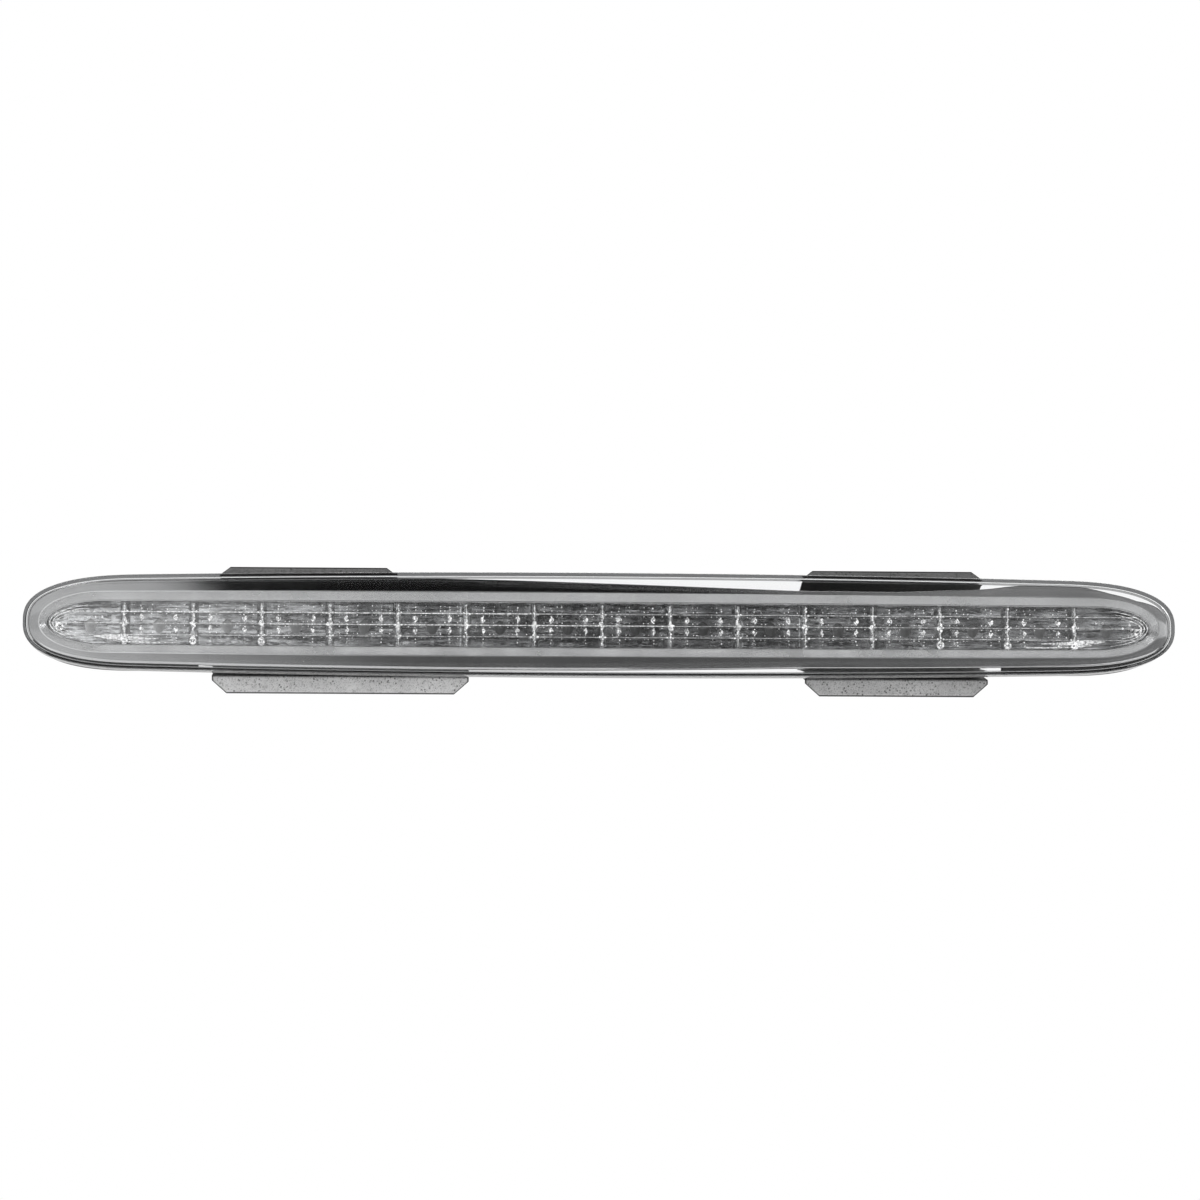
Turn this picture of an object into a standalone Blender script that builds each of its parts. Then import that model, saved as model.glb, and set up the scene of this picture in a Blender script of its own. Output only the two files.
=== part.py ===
"""Third brake light: a slim sixteen-LED lamp that clips into a boot lid from outside.

Units are metres and +Z is up. +X runs to the right along the lamp, the light leaves
towards -Y, and the plane Y = 0 is the outer skin of the boot lid, with the origin at the
middle of its opening. Each sub-part is one object in the collection third_brake_light.
"""

import math
from collections import namedtuple

import bmesh
import bpy
from mathutils import Matrix, Vector

# A cigar outline: straight or gently bowed edges as far as the shoulder, then round ends.
Outline = namedtuple("Outline", "half_length half_height shoulder bow power")

GAP = 0.0003
BOW_STEPS = 3
END_STEPS = 8

# Outlines, seen from the front.
LENS = Outline(0.2150, 0.0194, 0.172, 0.0586, 2.6)
BEZEL = Outline(0.2132, 0.0170, 0.172, 0.040, 2.6)
FLANGE = Outline(0.2126, 0.0149, 0.172, 0.0, 2.6)
PAD = Outline(0.2149, 0.0176, 0.172, 0.0, 2.6)
TUB = Outline(0.2095, 0.0125, 0.180, 0.0, 2.3)
RECESS = Outline(0.2090, 0.01195, 0.185, 0.022, 2.1)
WINDOW = Outline(0.2063, 0.0084, 0.185, 0.012, 2.0)

# Cover lens.
LENS_REAR_Y = -0.0023
LENS_EDGE_Y = -0.0100
LENS_RISE = 0.0020
LENS_RIM = 0.0013
LENS_WALL = 0.0020
LENS_ROUND = 0.0008
# How far in from the edge the dome has risen, and the share of its rise there.
LENS_DOME = [(0.0022, 0.25), (0.0060, 0.62), (0.0110, 0.90), (0.0160, 1.0)]

# Metallised bezel.
BEZEL_REAR_Y = -0.0046
BEZEL_EDGE_Y = -0.0062
BEZEL_LIP_Y = -0.0077
BEZEL_WINDOW_Y = -0.0052
BEZEL_WALL = 0.0011
BEZEL_BACK_LIP = (0.0009, 0.0003)

# Ribbed optic and the tray of cells behind it.
OPTIC_PLATE_FRONT_Y = -0.0031
OPTIC_PLATE_REAR_Y = -0.0018
OPTIC_ROOT_Y = -0.0041
OPTIC_CREST_Y = -0.0046
FLUTES = 4
FLUTE_PITCH = 0.0043
FLUTE_STEPS = 4
TRAY_FRONT_Y = -0.0015
TRAY_REAR_Y = 0.0077
TRAY_FLOOR_Y = 0.0016
TRAY_FLOOR = 0.0010
TRAY_WALL = 0.0011
CELLS = 16
CELL_PITCH = 0.0254
CELL_MOUTH = (0.0243, 0.0182)
CELL_FLOOR = (0.0218, 0.0170)
LED_HOLE_R = 0.0029

# LEDs on their board.
LED_BODY = 0.0076
LED_BODY_FRONT_Y = 0.0045
LED_SHOULDER = 0.0006
LED_DOME_R = 0.0024
BOARD_FRONT_Y = 0.0080
BOARD_THICK = 0.0016
BOARD = Outline(0.2030, 0.0092, 0.190, 0.0, 2.4)
LED_SIDES = 12

# Housing tub, with its back wall.
HOUSING_FLANGE_Y = -0.0043
HOUSING_FLANGE_REAR_Y = -0.0023
HOUSING_BACK_Y = 0.0260
HOUSING_WALL = 0.0016
HOUSING_TAPER = 0.0090
TAPER_FROM_Y = 0.0030
HOLLOW_TAPER_FROM_Y = 0.0077
STANDOFF_R = 0.0032
STANDOFF_BORE_R = 0.0015
BOARD_SCREW_X = (-0.1524, -0.0508, 0.0508, 0.1524)
GUSSET_X = (-0.1476, -0.036, -0.018, 0.018, 0.036, 0.1470)
GUSSET_THICK = 0.0014
GUSSET_RISE = 0.0020
GUSSET_BLUNT = 0.0040
GUSSET_END_Y = 0.0200
ROOTED = 0.0006

# End pads between the flange and the boot lid.
PAD_FRONT_Y = -0.0020
PAD_FROM_X = 0.1500

# Spring clips: one sheet each, bent into a base with an upper and a lower leg.
SHEET = 0.0006
BASE_FRONT_Y = 0.0263
BASE_HALF_HEIGHT = 0.0137
LEG_HINGE_Z = 0.0143
LEG_KNEE = (0.0060, 0.0186)
FOOT_TIP_Y = 0.0070
# Height of a foot's tip, and the width and height cut from each of its corners.
UPPER_FOOT = (0.0228, 0.0040, 0.0031)
LOWER_FOOT = (0.0248, 0.0055, 0.0048)
CLIP_LEGS = {
    "clip_left_upper_leg": (-0.1430, -0.0765, 1, UPPER_FOOT),
    "clip_left_lower_leg": (-0.1456, -0.0496, -1, LOWER_FOOT),
    "clip_right_upper_leg": (0.0762, 0.1446, 1, UPPER_FOOT),
    "clip_right_lower_leg": (0.0770, 0.1463, -1, LOWER_FOOT),
}
CLIP_BASES = {
    "clip_left_base": (-0.1456, -0.0496, (-0.1260, -0.0700)),
    "clip_right_base": (0.0762, 0.1463, (0.0900, 0.1320)),
}
CLIP_SCREW_R = 0.0015
CLIP_SCREW_HOLE_R = 0.0018
CLIP_SCREW_REACH = 0.0075
CLIP_SCREW_HEAD = [(0.0032, 0.0), (0.0032, 0.0010), (0.0027, 0.0018), (0.0015, 0.0021)]

# Connector in the middle of the back, and the vent beside it.
SOCKET_OUTER = (0.0154, 0.0104)
SOCKET_MOUTH = (0.0124, 0.0074)
SOCKET_FRONT_Y = 0.0099
SOCKET_FLOOR_Y = 0.0230
SOCKET_REAR_Y = 0.0340
TERMINAL_X = 0.0025
TERMINAL_SIDE = 0.0010
TERMINAL_END_Y = 0.0290
CATCH_LOW = (-0.0016, 0.0290, 0.0048)
CATCH_HIGH = (0.0016, 0.0312, 0.0062)
VENT_X = 0.0290
VENT_STEM_R = 0.0026
VENT_STEM_REACH = 0.0040
# Radius and height above the housing's back.
VENT_CAP = [(0.0052, 0.0003), (0.0052, 0.0030), (0.0044, 0.0038), (0.0020, 0.0040)]

TURNED_STEPS = 16
SMALL_STEPS = 12
SCREW_POINT_R = 0.0005
SCREW_TAPER = 0.0010

# Parts on the back of the board: half sizes along X and Z, and height off the board.
RESISTOR_X = (-0.0890, -0.0380, 0.0380, 0.0890)
RESISTOR = (0.0032, 0.0016, 0.0012)
DIODE_X = -0.02175
DIODE = (0.00225, 0.0013, 0.0021)
CAPACITOR_X = 0.0205
CAPACITOR = [(0.0026, 0.0), (0.0032, 0.0006), (0.0032, 0.0100), (0.0028, 0.0105)]

# Board screws: (radius, depth in front of the board's face) of the head, then the shank.
BOARD_SCREW_HEAD = [(0.0016, 0.0017), (0.0023, 0.0014), (0.0026, 0.0008), (0.0026, 0.0)]
BOARD_SCREW_R = 0.0012
BOARD_SCREW_REACH = 0.0085

# Colour, roughness and metallic value of each finish.
FINISHES = {
    "clear_lens": ((0.92, 0.93, 0.94), 0.05, 0.0),
    "chrome": ((0.80, 0.80, 0.81), 0.12, 1.0),
    "clear_optic": ((0.85, 0.86, 0.88), 0.08, 0.0),
    "black_plastic": ((0.018, 0.018, 0.019), 0.45, 0.0),
    "black_foam": ((0.012, 0.012, 0.012), 0.90, 0.0),
    "zinc_steel": ((0.62, 0.62, 0.62), 0.38, 1.0),
    "board_green": ((0.03, 0.16, 0.07), 0.40, 0.0),
    "led_clear": ((0.88, 0.86, 0.84), 0.10, 0.0),
    "component_dark": ((0.04, 0.04, 0.045), 0.50, 0.0),
    "tinned": ((0.75, 0.74, 0.70), 0.25, 1.0),
    "vent_grey": ((0.20, 0.20, 0.21), 0.60, 0.0),
}


def clear_scene():
    for obj in list(bpy.data.objects):
        bpy.data.objects.remove(obj, do_unlink=True)


def new_collection(name):
    collection = bpy.data.collections.new(name)
    bpy.context.scene.collection.children.link(collection)
    return collection


def new_material(name):
    colour, roughness, metallic = FINISHES[name]
    material = bpy.data.materials.new(name)
    material.use_nodes = True
    shader = material.node_tree.nodes["Principled BSDF"]
    shader.inputs["Base Color"].default_value = (*colour, 1.0)
    shader.inputs["Roughness"].default_value = roughness
    shader.inputs["Metallic"].default_value = metallic
    return material


class Workshop:
    """Puts new objects in the collection of parts, or with the cutters."""

    def __init__(self):
        self.parts = new_collection("third_brake_light")
        self.cutters = new_collection("cutters")
        self.materials = {name: new_material(name) for name in FINISHES}
        self.cutters.hide_render = True

    def part(self, name, bm, finish):
        obj = self._object(name, bm, self.parts)
        obj.data.materials.append(self.materials[finish])
        return obj

    def cutter(self, name, bm):
        obj = self._object(name, bm, self.cutters)
        obj.hide_render = True
        obj.display_type = "WIRE"
        return obj

    def _object(self, name, bm, collection):
        bmesh.ops.recalc_face_normals(bm, faces=bm.faces)
        mesh = bpy.data.meshes.new(name)
        bm.to_mesh(mesh)
        bm.free()
        obj = bpy.data.objects.new(name, mesh)
        collection.objects.link(obj)
        return obj


# Shapes


def quarter(outline):
    """Points of the +X +Z quarter of an outline, from the middle of its top edge to its tip."""
    points = []
    for i in range(BOW_STEPS):
        x = outline.shoulder * i / BOW_STEPS
        points.append((x, outline.half_height - outline.bow * x * x))
    reach = outline.half_length - outline.shoulder
    for i in range(END_STEPS):
        angle = 0.5 * math.pi * i / END_STEPS
        x = outline.shoulder + reach * math.sin(angle) ** (2 / outline.power)
        edge = outline.half_height - outline.bow * x * x
        points.append((x, edge * math.cos(angle) ** (2 / outline.power)))
    points.append((outline.half_length, 0.0))
    return points


def ring(outline, y, inset=0.0):
    """The whole outline as a loop of points at depth y, drawn in by inset."""
    drawn_in = outline._replace(
        half_length=outline.half_length - inset, half_height=outline.half_height - inset
    )
    top_right = quarter(drawn_in)
    right = top_right + [(x, -z) for x, z in reversed(top_right[:-1])]
    left = [(-x, z) for x, z in reversed(right[1:-1])]
    return [Vector((x, y, z)) for x, z in right + left]


def loft(bm, rings, closed=False):
    """Joins rings of points into one skin, capped at both ends or carried round to the start."""
    loops = [[bm.verts.new(point) for point in points] for points in rings]
    pairs = list(zip(loops, loops[1:]))
    if closed:
        pairs.append((loops[-1], loops[0]))
    for near, far in pairs:
        for i in range(len(near)):
            j = (i + 1) % len(near)
            bm.faces.new((near[i], near[j], far[j], far[i]))
    if not closed:
        bm.faces.new(loops[0])
        bm.faces.new(loops[-1])


def lofted(rings, closed=False):
    bm = bmesh.new()
    loft(bm, rings, closed)
    return bm


def add_box(bm, low, high):
    size = Vector(high) - Vector(low)
    middle = (Vector(high) + Vector(low)) / 2
    matrix = Matrix.Translation(middle) @ Matrix.Diagonal((*size, 1.0))
    bmesh.ops.create_cube(bm, size=1.0, matrix=matrix)


def boxes(*corners):
    bm = bmesh.new()
    for low, high in corners:
        add_box(bm, low, high)
    return bm


def add_rod(bm, x, z, radius, y_from, y_to, sides=TURNED_STEPS):
    """A round rod along Y."""
    middle = Vector((x, (y_from + y_to) / 2, z))
    matrix = Matrix.Translation(middle) @ Matrix.Rotation(math.pi / 2, 4, "X")
    bmesh.ops.create_cone(
        bm,
        cap_ends=True,
        segments=sides,
        radius1=radius,
        radius2=radius,
        depth=y_to - y_from,
        matrix=matrix,
    )


def rods(places, radius, y_from, y_to, sides=TURNED_STEPS):
    bm = bmesh.new()
    for x, z in places:
        add_rod(bm, x, z, radius, y_from, y_to, sides)
    return bm


def turned(profile, steps=TURNED_STEPS):
    """A turned solid about Y: profile lists (radius, y) from its end at low y to its other end."""
    rings = []
    for radius, y in profile:
        turn = [2 * math.pi * i / steps for i in range(steps)]
        rings.append([Vector((radius * math.cos(a), y, radius * math.sin(a))) for a in turn])
    return lofted(rings)


def boolean(obj, operation, other):
    modifier = obj.modifiers.new(operation.lower() + "_" + other.name, "BOOLEAN")
    modifier.operation = operation
    modifier.object = other
    modifier.solver = "EXACT"
    modifier.use_hole_tolerant = False
    return modifier


def bevel(obj, width, segments=1, angle=math.radians(40)):
    modifier = obj.modifiers.new("bevel", "BEVEL")
    modifier.width = width
    modifier.segments = segments
    modifier.limit_method = "ANGLE"
    modifier.angle_limit = angle
    return modifier


def cell_centres():
    first = -0.5 * CELL_PITCH * (CELLS - 1)
    return [first + CELL_PITCH * i for i in range(CELLS)]


# Optics


def outer_lens(shop):
    """Clear cover: a shallow dome with a rim wall all round, open behind."""
    inner_y = LENS_EDGE_Y + LENS_WALL
    rings = []
    for inset, rise in reversed(LENS_DOME):
        rings.append(ring(LENS, LENS_EDGE_Y - LENS_RISE * rise, inset))
    rings += [
        ring(LENS, LENS_EDGE_Y, LENS_ROUND),
        ring(LENS, LENS_EDGE_Y + 0.3 * LENS_ROUND, 0.3 * LENS_ROUND),
        ring(LENS, LENS_EDGE_Y + LENS_ROUND),
        ring(LENS, LENS_REAR_Y),
        ring(LENS, LENS_REAR_Y, LENS_RIM),
        ring(LENS, inner_y, LENS_RIM),
    ]
    for inset, rise in LENS_DOME:
        rings.append(ring(LENS, inner_y - LENS_RISE * rise, inset))
    return shop.part("outer_lens", lofted(rings), "clear_lens")


def chrome_bezel(shop):
    """Frame moulding: convex face, then a wall that slopes down to the window."""
    wall = BEZEL_WALL
    back_step, back_out = BEZEL_BACK_LIP
    rings = [
        ring(BEZEL, BEZEL_REAR_Y),
        ring(BEZEL, BEZEL_EDGE_Y),
        ring(BEZEL, BEZEL_EDGE_Y - 0.0008, 0.0005),
        ring(BEZEL, BEZEL_LIP_Y + 0.0002, 0.0018),
        ring(RECESS, BEZEL_LIP_Y, -0.0002),
        ring(RECESS, BEZEL_LIP_Y + 0.0003, 0.0002),
        ring(WINDOW, BEZEL_WINDOW_Y),
        ring(WINDOW, BEZEL_WINDOW_Y + back_step),
        ring(WINDOW, BEZEL_WINDOW_Y + back_step, -back_out),
        ring(RECESS, BEZEL_LIP_Y + wall, -0.2 * wall),
        ring(BEZEL, BEZEL_EDGE_Y, wall),
        ring(BEZEL, BEZEL_REAR_Y, wall),
    ]
    return shop.part("chrome_bezel", lofted(rings, closed=True), "chrome")


def flute_profile():
    """(y, z) of the optic's section: a flat back and four round flutes in front."""
    half = 0.5 * FLUTES * FLUTE_PITCH
    points = [(OPTIC_PLATE_FRONT_Y + GAP, half), (OPTIC_PLATE_FRONT_Y + GAP, -half)]
    for flute in range(FLUTES):
        for step in range(FLUTE_STEPS):
            share = step / FLUTE_STEPS
            z = -half + (flute + share) * FLUTE_PITCH
            rise = math.sin(math.pi * share)
            points.append((OPTIC_ROOT_Y + (OPTIC_CREST_Y - OPTIC_ROOT_Y) * rise, z))
    points.append((OPTIC_ROOT_Y, half))
    return points


def optic_insert(shop):
    """Inner lens: a plate held behind the bezel, with a fluted block that fills the window."""
    section = flute_profile()
    reach = WINDOW.half_length
    bar = lofted([[Vector((x, y, z)) for y, z in section] for x in (-reach, reach)])
    fluted = shop.cutter("optic_flutes", bar)
    trim = shop.cutter(
        "optic_trim",
        lofted([ring(WINDOW, -0.0060, GAP), ring(WINDOW, -0.0020, GAP)]),
    )
    boolean(fluted, "INTERSECT", trim)
    held = ring(TUB, OPTIC_PLATE_FRONT_Y, HOUSING_WALL + 2 * GAP)
    back = ring(TUB, OPTIC_PLATE_REAR_Y, HOUSING_WALL + 2 * GAP)
    plate = shop.part("optic_insert", lofted([held, back]), "clear_optic")
    boolean(plate, "UNION", fluted)
    return plate


def cell_frustum(bm, x):
    """One cell of the tray: wide at the front, narrow at the floor."""
    rings = []
    for y, (width, height) in (
        (TRAY_FRONT_Y - 0.0010, CELL_MOUTH),
        (TRAY_FRONT_Y, CELL_MOUTH),
        (TRAY_FLOOR_Y - TRAY_FLOOR, CELL_FLOOR),
    ):
        corners = ((-0.5, -0.5), (0.5, -0.5), (0.5, 0.5), (-0.5, 0.5))
        rings.append([Vector((x + a * width, y, b * height)) for a, b in corners])
    loft(bm, rings)


def reflector_tray(shop):
    """Tray of sixteen cells, open behind its floor, with a hole for each LED."""
    inset = HOUSING_WALL + 2 * GAP
    tray = shop.part(
        "reflector_tray",
        lofted([ring(TUB, TRAY_FRONT_Y, inset), ring(TUB, TRAY_REAR_Y, inset)]),
        "chrome",
    )
    behind = shop.cutter(
        "tray_rear",
        lofted(
            [
                ring(TUB, TRAY_FLOOR_Y, inset + TRAY_WALL),
                ring(TUB, TRAY_REAR_Y + 0.001, inset + TRAY_WALL),
            ]
        ),
    )
    cells = bmesh.new()
    for x in cell_centres():
        cell_frustum(cells, x)
    mouths = shop.cutter("tray_cells", cells)
    inside = shop.cutter(
        "tray_inside",
        lofted(
            [
                ring(TUB, TRAY_FRONT_Y - 0.002, inset + TRAY_WALL),
                ring(TUB, TRAY_FLOOR_Y, inset + TRAY_WALL),
            ]
        ),
    )
    boolean(mouths, "INTERSECT", inside)
    places = [(x, 0.0) for x in cell_centres()]
    holes = shop.cutter("tray_holes", rods(places, LED_HOLE_R, 0.0, 0.006, LED_SIDES))
    for cutter in (behind, mouths, holes):
        boolean(tray, "DIFFERENCE", cutter)
    return tray


# Electronics


def led_shape():
    """Square four-lead LED: a body and a dome towards the front, at X = 0."""
    half = 0.5 * LED_BODY
    turn = [2 * math.pi * (i + 0.5) / LED_SIDES for i in range(LED_SIDES)]

    def square(y):
        points = []
        for a in turn:
            scale = half / max(abs(math.cos(a)), abs(math.sin(a)))
            points.append(Vector((scale * math.cos(a), y, scale * math.sin(a))))
        return points

    def circle(radius, y):
        return [Vector((radius * math.cos(a), y, radius * math.sin(a))) for a in turn]

    shoulder = LED_BODY_FRONT_Y - LED_SHOULDER
    dome = [math.radians(angle) for angle in (0, 30, 60)]
    rings = [square(BOARD_FRONT_Y - GAP), square(LED_BODY_FRONT_Y)]
    rings.append(circle(LED_DOME_R, LED_BODY_FRONT_Y))
    for angle in dome:
        rings.append(
            circle(LED_DOME_R * math.cos(angle), shoulder - LED_DOME_R * math.sin(angle))
        )
    return lofted(rings)


def leds(shop):
    first = None
    for number, x in enumerate(cell_centres(), start=1):
        name = f"led_{number:02d}"
        if first is None:
            first = shop.part(name, led_shape(), "led_clear")
            led = first
        else:
            led = bpy.data.objects.new(name, first.data)
            shop.parts.objects.link(led)
        led.location.x = x


def circuit_board(shop):
    rear = BOARD_FRONT_Y + BOARD_THICK
    board = shop.part(
        "circuit_board",
        lofted([ring(BOARD, BOARD_FRONT_Y), ring(BOARD, rear)]),
        "board_green",
    )
    places = [(x, 0.0) for x in BOARD_SCREW_X]
    holes = shop.cutter("board_holes", rods(places, STANDOFF_BORE_R, 0.005, 0.012, 12))
    boolean(board, "DIFFERENCE", holes)
    return board


def chip(shop, name, x, size, round_by):
    half_x, half_z, height = size
    rear = BOARD_FRONT_Y + BOARD_THICK + GAP
    low, high = (x - half_x, rear, -half_z), (x + half_x, rear + height, half_z)
    bevel(shop.part(name, boxes((low, high)), "component_dark"), round_by)


def small_parts(shop):
    """Resistors, diode and capacitor on the back of the board."""
    for number, x in enumerate(RESISTOR_X, start=1):
        chip(shop, f"resistor_{number}", x, RESISTOR, 0.0003)
    chip(shop, "diode", DIODE_X, DIODE, 0.0004)
    rear = BOARD_FRONT_Y + BOARD_THICK + GAP
    can = turned([(radius, rear + height) for radius, height in CAPACITOR])
    shop.part("capacitor", can, "component_dark").location.x = CAPACITOR_X


def board_screws(shop):
    """Pan-head screws through the board into the housing's standoffs."""
    front = BOARD_FRONT_Y - GAP
    point = front + BOARD_SCREW_REACH
    profile = [(radius, front - rise) for radius, rise in BOARD_SCREW_HEAD]
    profile += [(BOARD_SCREW_R, front), (BOARD_SCREW_R, point - SCREW_TAPER)]
    profile.append((SCREW_POINT_R, point))
    for number, x in enumerate(BOARD_SCREW_X, start=1):
        name = f"board_screw_{number}"
        shop.part(name, turned(profile, SMALL_STEPS), "zinc_steel").location.x = x


# Housing and what closes it


def housing_body(shop):
    """The moulding's outside: flange, tub and tapered ends."""
    back = HOUSING_BACK_Y
    tapered = TUB._replace(half_length=TUB.half_length - HOUSING_TAPER)
    rings = [
        ring(FLANGE, HOUSING_FLANGE_Y),
        ring(FLANGE, HOUSING_FLANGE_REAR_Y),
        ring(TUB, HOUSING_FLANGE_REAR_Y),
        ring(TUB, TAPER_FROM_Y),
        ring(tapered, back - 0.0010, 0.0004),
        ring(tapered, back, 0.0014),
    ]
    return shop.part("rear_housing", lofted(rings), "black_plastic")


def gussets(shop):
    """Thin ribs above and below the tub, under the flange."""
    bm = bmesh.new()
    half = 0.5 * GUSSET_THICK
    root = TUB.half_height - ROOTED
    top = TUB.half_height + GUSSET_RISE
    front = HOUSING_FLANGE_REAR_Y - ROOTED
    for x in GUSSET_X:
        for side in (1, -1):
            outline = [
                (front, root * side),
                (front, top * side),
                (front + GUSSET_BLUNT, top * side),
                (GUSSET_END_Y, root * side),
            ]
            loft(bm, [[Vector((x + dx, y, z)) for y, z in outline] for dx in (-half, half)])
    return shop.cutter("housing_gussets", bm)


def rear_housing(shop):
    housing = housing_body(shop)
    wall = HOUSING_WALL
    inner_back = HOUSING_BACK_Y - wall
    tapered = TUB._replace(half_length=TUB.half_length - HOUSING_TAPER)
    hollow = shop.cutter(
        "housing_hollow",
        lofted(
            [
                ring(TUB, HOUSING_FLANGE_Y - 0.001, wall),
                ring(TUB, HOLLOW_TAPER_FROM_Y, wall),
                ring(tapered, inner_back, wall + 0.0004),
            ]
        ),
    )
    standoffs = shop.cutter(
        "housing_standoffs",
        rods(
            [(x, 0.0) for x in BOARD_SCREW_X],
            STANDOFF_R,
            BOARD_FRONT_Y + BOARD_THICK + GAP,
            inner_back + 0.0005,
            12,
        ),
    )
    clip_places = [(x, 0.0) for _, _, screws in CLIP_BASES.values() for x in screws]
    bosses = shop.cutter(
        "housing_bosses",
        rods(clip_places, STANDOFF_R + 0.0004, inner_back - 0.0080, inner_back + 0.0005, 12),
    )
    standoff_bores = shop.cutter(
        "standoff_bores",
        rods([(x, 0.0) for x in BOARD_SCREW_X], STANDOFF_BORE_R, 0.0080, 0.0185, 12),
    )
    clip_bores = shop.cutter(
        "clip_bores",
        rods(clip_places, CLIP_SCREW_HOLE_R, inner_back - 0.0072, HOUSING_BACK_Y + 0.001, 12),
    )
    half_w, half_h = SOCKET_OUTER[0] / 2 + GAP, SOCKET_OUTER[1] / 2 + GAP
    socket_hole = shop.cutter(
        "socket_hole",
        boxes(((-half_w, inner_back - 0.003, -half_h), (half_w, HOUSING_BACK_Y + 0.003, half_h))),
    )
    vent_hole = shop.cutter(
        "vent_hole",
        rods([(VENT_X, 0.0)], VENT_STEM_R + GAP, inner_back - 0.003, HOUSING_BACK_Y + 0.003),
    )
    boolean(housing, "UNION", gussets(shop))
    boolean(housing, "DIFFERENCE", hollow)
    boolean(housing, "UNION", standoffs)
    boolean(housing, "UNION", bosses)
    for cutter in (standoff_bores, clip_bores, socket_hole, vent_hole):
        boolean(housing, "DIFFERENCE", cutter)
    return housing


def end_pads(shop):
    """Soft pads round both ends of the tub, where the lamp bears on the boot lid."""
    for name, side in (("end_pad_left", -1), ("end_pad_right", 1)):
        rings = [
            ring(PAD, 0.0),
            ring(PAD, PAD_FRONT_Y),
            ring(TUB, PAD_FRONT_Y, -GAP - 0.0001),
            ring(TUB, 0.0, -GAP - 0.0001),
        ]
        pad = shop.part(name, lofted(rings, closed=True), "black_foam")
        low = (min(side * PAD_FROM_X, side * 0.25), -0.01, -0.03)
        high = (max(side * PAD_FROM_X, side * 0.25), 0.01, 0.03)
        boolean(pad, "INTERSECT", shop.cutter(name + "_trim", boxes((low, high))))


def connector(shop):
    half_w, half_h = SOCKET_OUTER[0] / 2, SOCKET_OUTER[1] / 2
    low, high = (-half_w, SOCKET_FRONT_Y, -half_h), (half_w, SOCKET_REAR_Y, half_h)
    socket = shop.part("connector_socket", boxes((low, high)), "black_plastic")
    bevel(socket, 0.0006)
    half_w, half_h = SOCKET_MOUTH[0] / 2, SOCKET_MOUTH[1] / 2
    low, high = (-half_w, SOCKET_FLOOR_Y, -half_h), (half_w, SOCKET_REAR_Y + 0.001, half_h)
    mouth = shop.cutter("socket_mouth", boxes((low, high)))
    half = TERMINAL_SIDE / 2 + GAP
    channels = shop.cutter(
        "terminal_channels",
        boxes(
            *(
                ((x - half, SOCKET_FRONT_Y - 0.001, -half), (x + half, SOCKET_FLOOR_Y + 0.001, half))
                for x in (-TERMINAL_X, TERMINAL_X)
            )
        ),
    )
    catch = shop.cutter("socket_catch", boxes((CATCH_LOW, CATCH_HIGH)))
    boolean(socket, "DIFFERENCE", mouth)
    boolean(socket, "DIFFERENCE", channels)
    boolean(socket, "UNION", catch)
    half = TERMINAL_SIDE / 2
    for number, x in enumerate((-TERMINAL_X, TERMINAL_X), start=1):
        low, high = (x - half, SOCKET_FRONT_Y, -half), (x + half, TERMINAL_END_Y, half)
        bevel(shop.part(f"terminal_{number}", boxes((low, high)), "tinned"), 0.0002)


def breather_vent(shop):
    """Mushroom-shaped vent whose stem passes through the back wall."""
    back = HOUSING_BACK_Y
    profile = [(VENT_STEM_R, back - VENT_STEM_REACH), (VENT_STEM_R, back + GAP)]
    profile += [(radius, back + rise) for radius, rise in VENT_CAP]
    shop.part("breather_vent", turned(profile), "vent_grey").location.x = VENT_X


# Spring clips


def clip_bases(shop):
    for name, (x_from, x_to, screws) in CLIP_BASES.items():
        low = (x_from, BASE_FRONT_Y, -BASE_HALF_HEIGHT)
        high = (x_to, BASE_FRONT_Y + SHEET, BASE_HALF_HEIGHT)
        base = shop.part(name, boxes((low, high)), "zinc_steel")
        places = [(x, 0.0) for x in screws]
        holes = rods(places, CLIP_SCREW_HOLE_R, BASE_FRONT_Y - 0.001, BASE_FRONT_Y + 0.002, 12)
        boolean(base, "DIFFERENCE", shop.cutter(name + "_holes", holes))


def leg_sections(foot):
    """(y, z, narrowing) along a leg, from its hinge edge to the tip of its foot."""
    tip_z, narrow_x, narrow_z = foot
    hinge = (BASE_FRONT_Y + SHEET / 2, LEG_HINGE_Z)
    start_z = tip_z - narrow_z
    share = (start_z - LEG_KNEE[1]) / (tip_z - LEG_KNEE[1])
    start = (LEG_KNEE[0] + share * (FOOT_TIP_Y - LEG_KNEE[0]), start_z)
    return [(*hinge, 0.0), (*LEG_KNEE, 0.0), (*start, 0.0), (FOOT_TIP_Y, tip_z, narrow_x)]


def mitre(before, here, after):
    """Half the sheet's thickness at a point of its line, square to the bend there."""
    arriving = (Vector(here) - Vector(before)).normalized() if before else None
    leaving = (Vector(after) - Vector(here)).normalized() if after else None
    along = ((arriving or leaving) + (leaving or arriving)).normalized()
    stretch = along.dot(leaving or arriving)
    return Vector((-along.y, along.x)) * (SHEET / 2 / stretch)


def clip_legs(shop):
    """Each leg flares forward from its bend, and its foot turns out behind the boot lid's skin."""
    for name, (x_from, x_to, side, foot) in CLIP_LEGS.items():
        sections = leg_sections(foot)
        rings = []
        for i, (y, z, narrowing) in enumerate(sections):
            before = sections[i - 1][:2] if i else None
            after = sections[i + 1][:2] if i + 1 < len(sections) else None
            across = mitre(before, (y, z), after)
            low_x, high_x = x_from + narrowing, x_to - narrowing
            inner = (y + across.x, side * (z + across.y))
            outer = (y - across.x, side * (z - across.y))
            rings.append(
                [
                    Vector((low_x, *inner)),
                    Vector((high_x, *inner)),
                    Vector((high_x, *outer)),
                    Vector((low_x, *outer)),
                ]
            )
        shop.part(name, lofted(rings), "zinc_steel")


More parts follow.
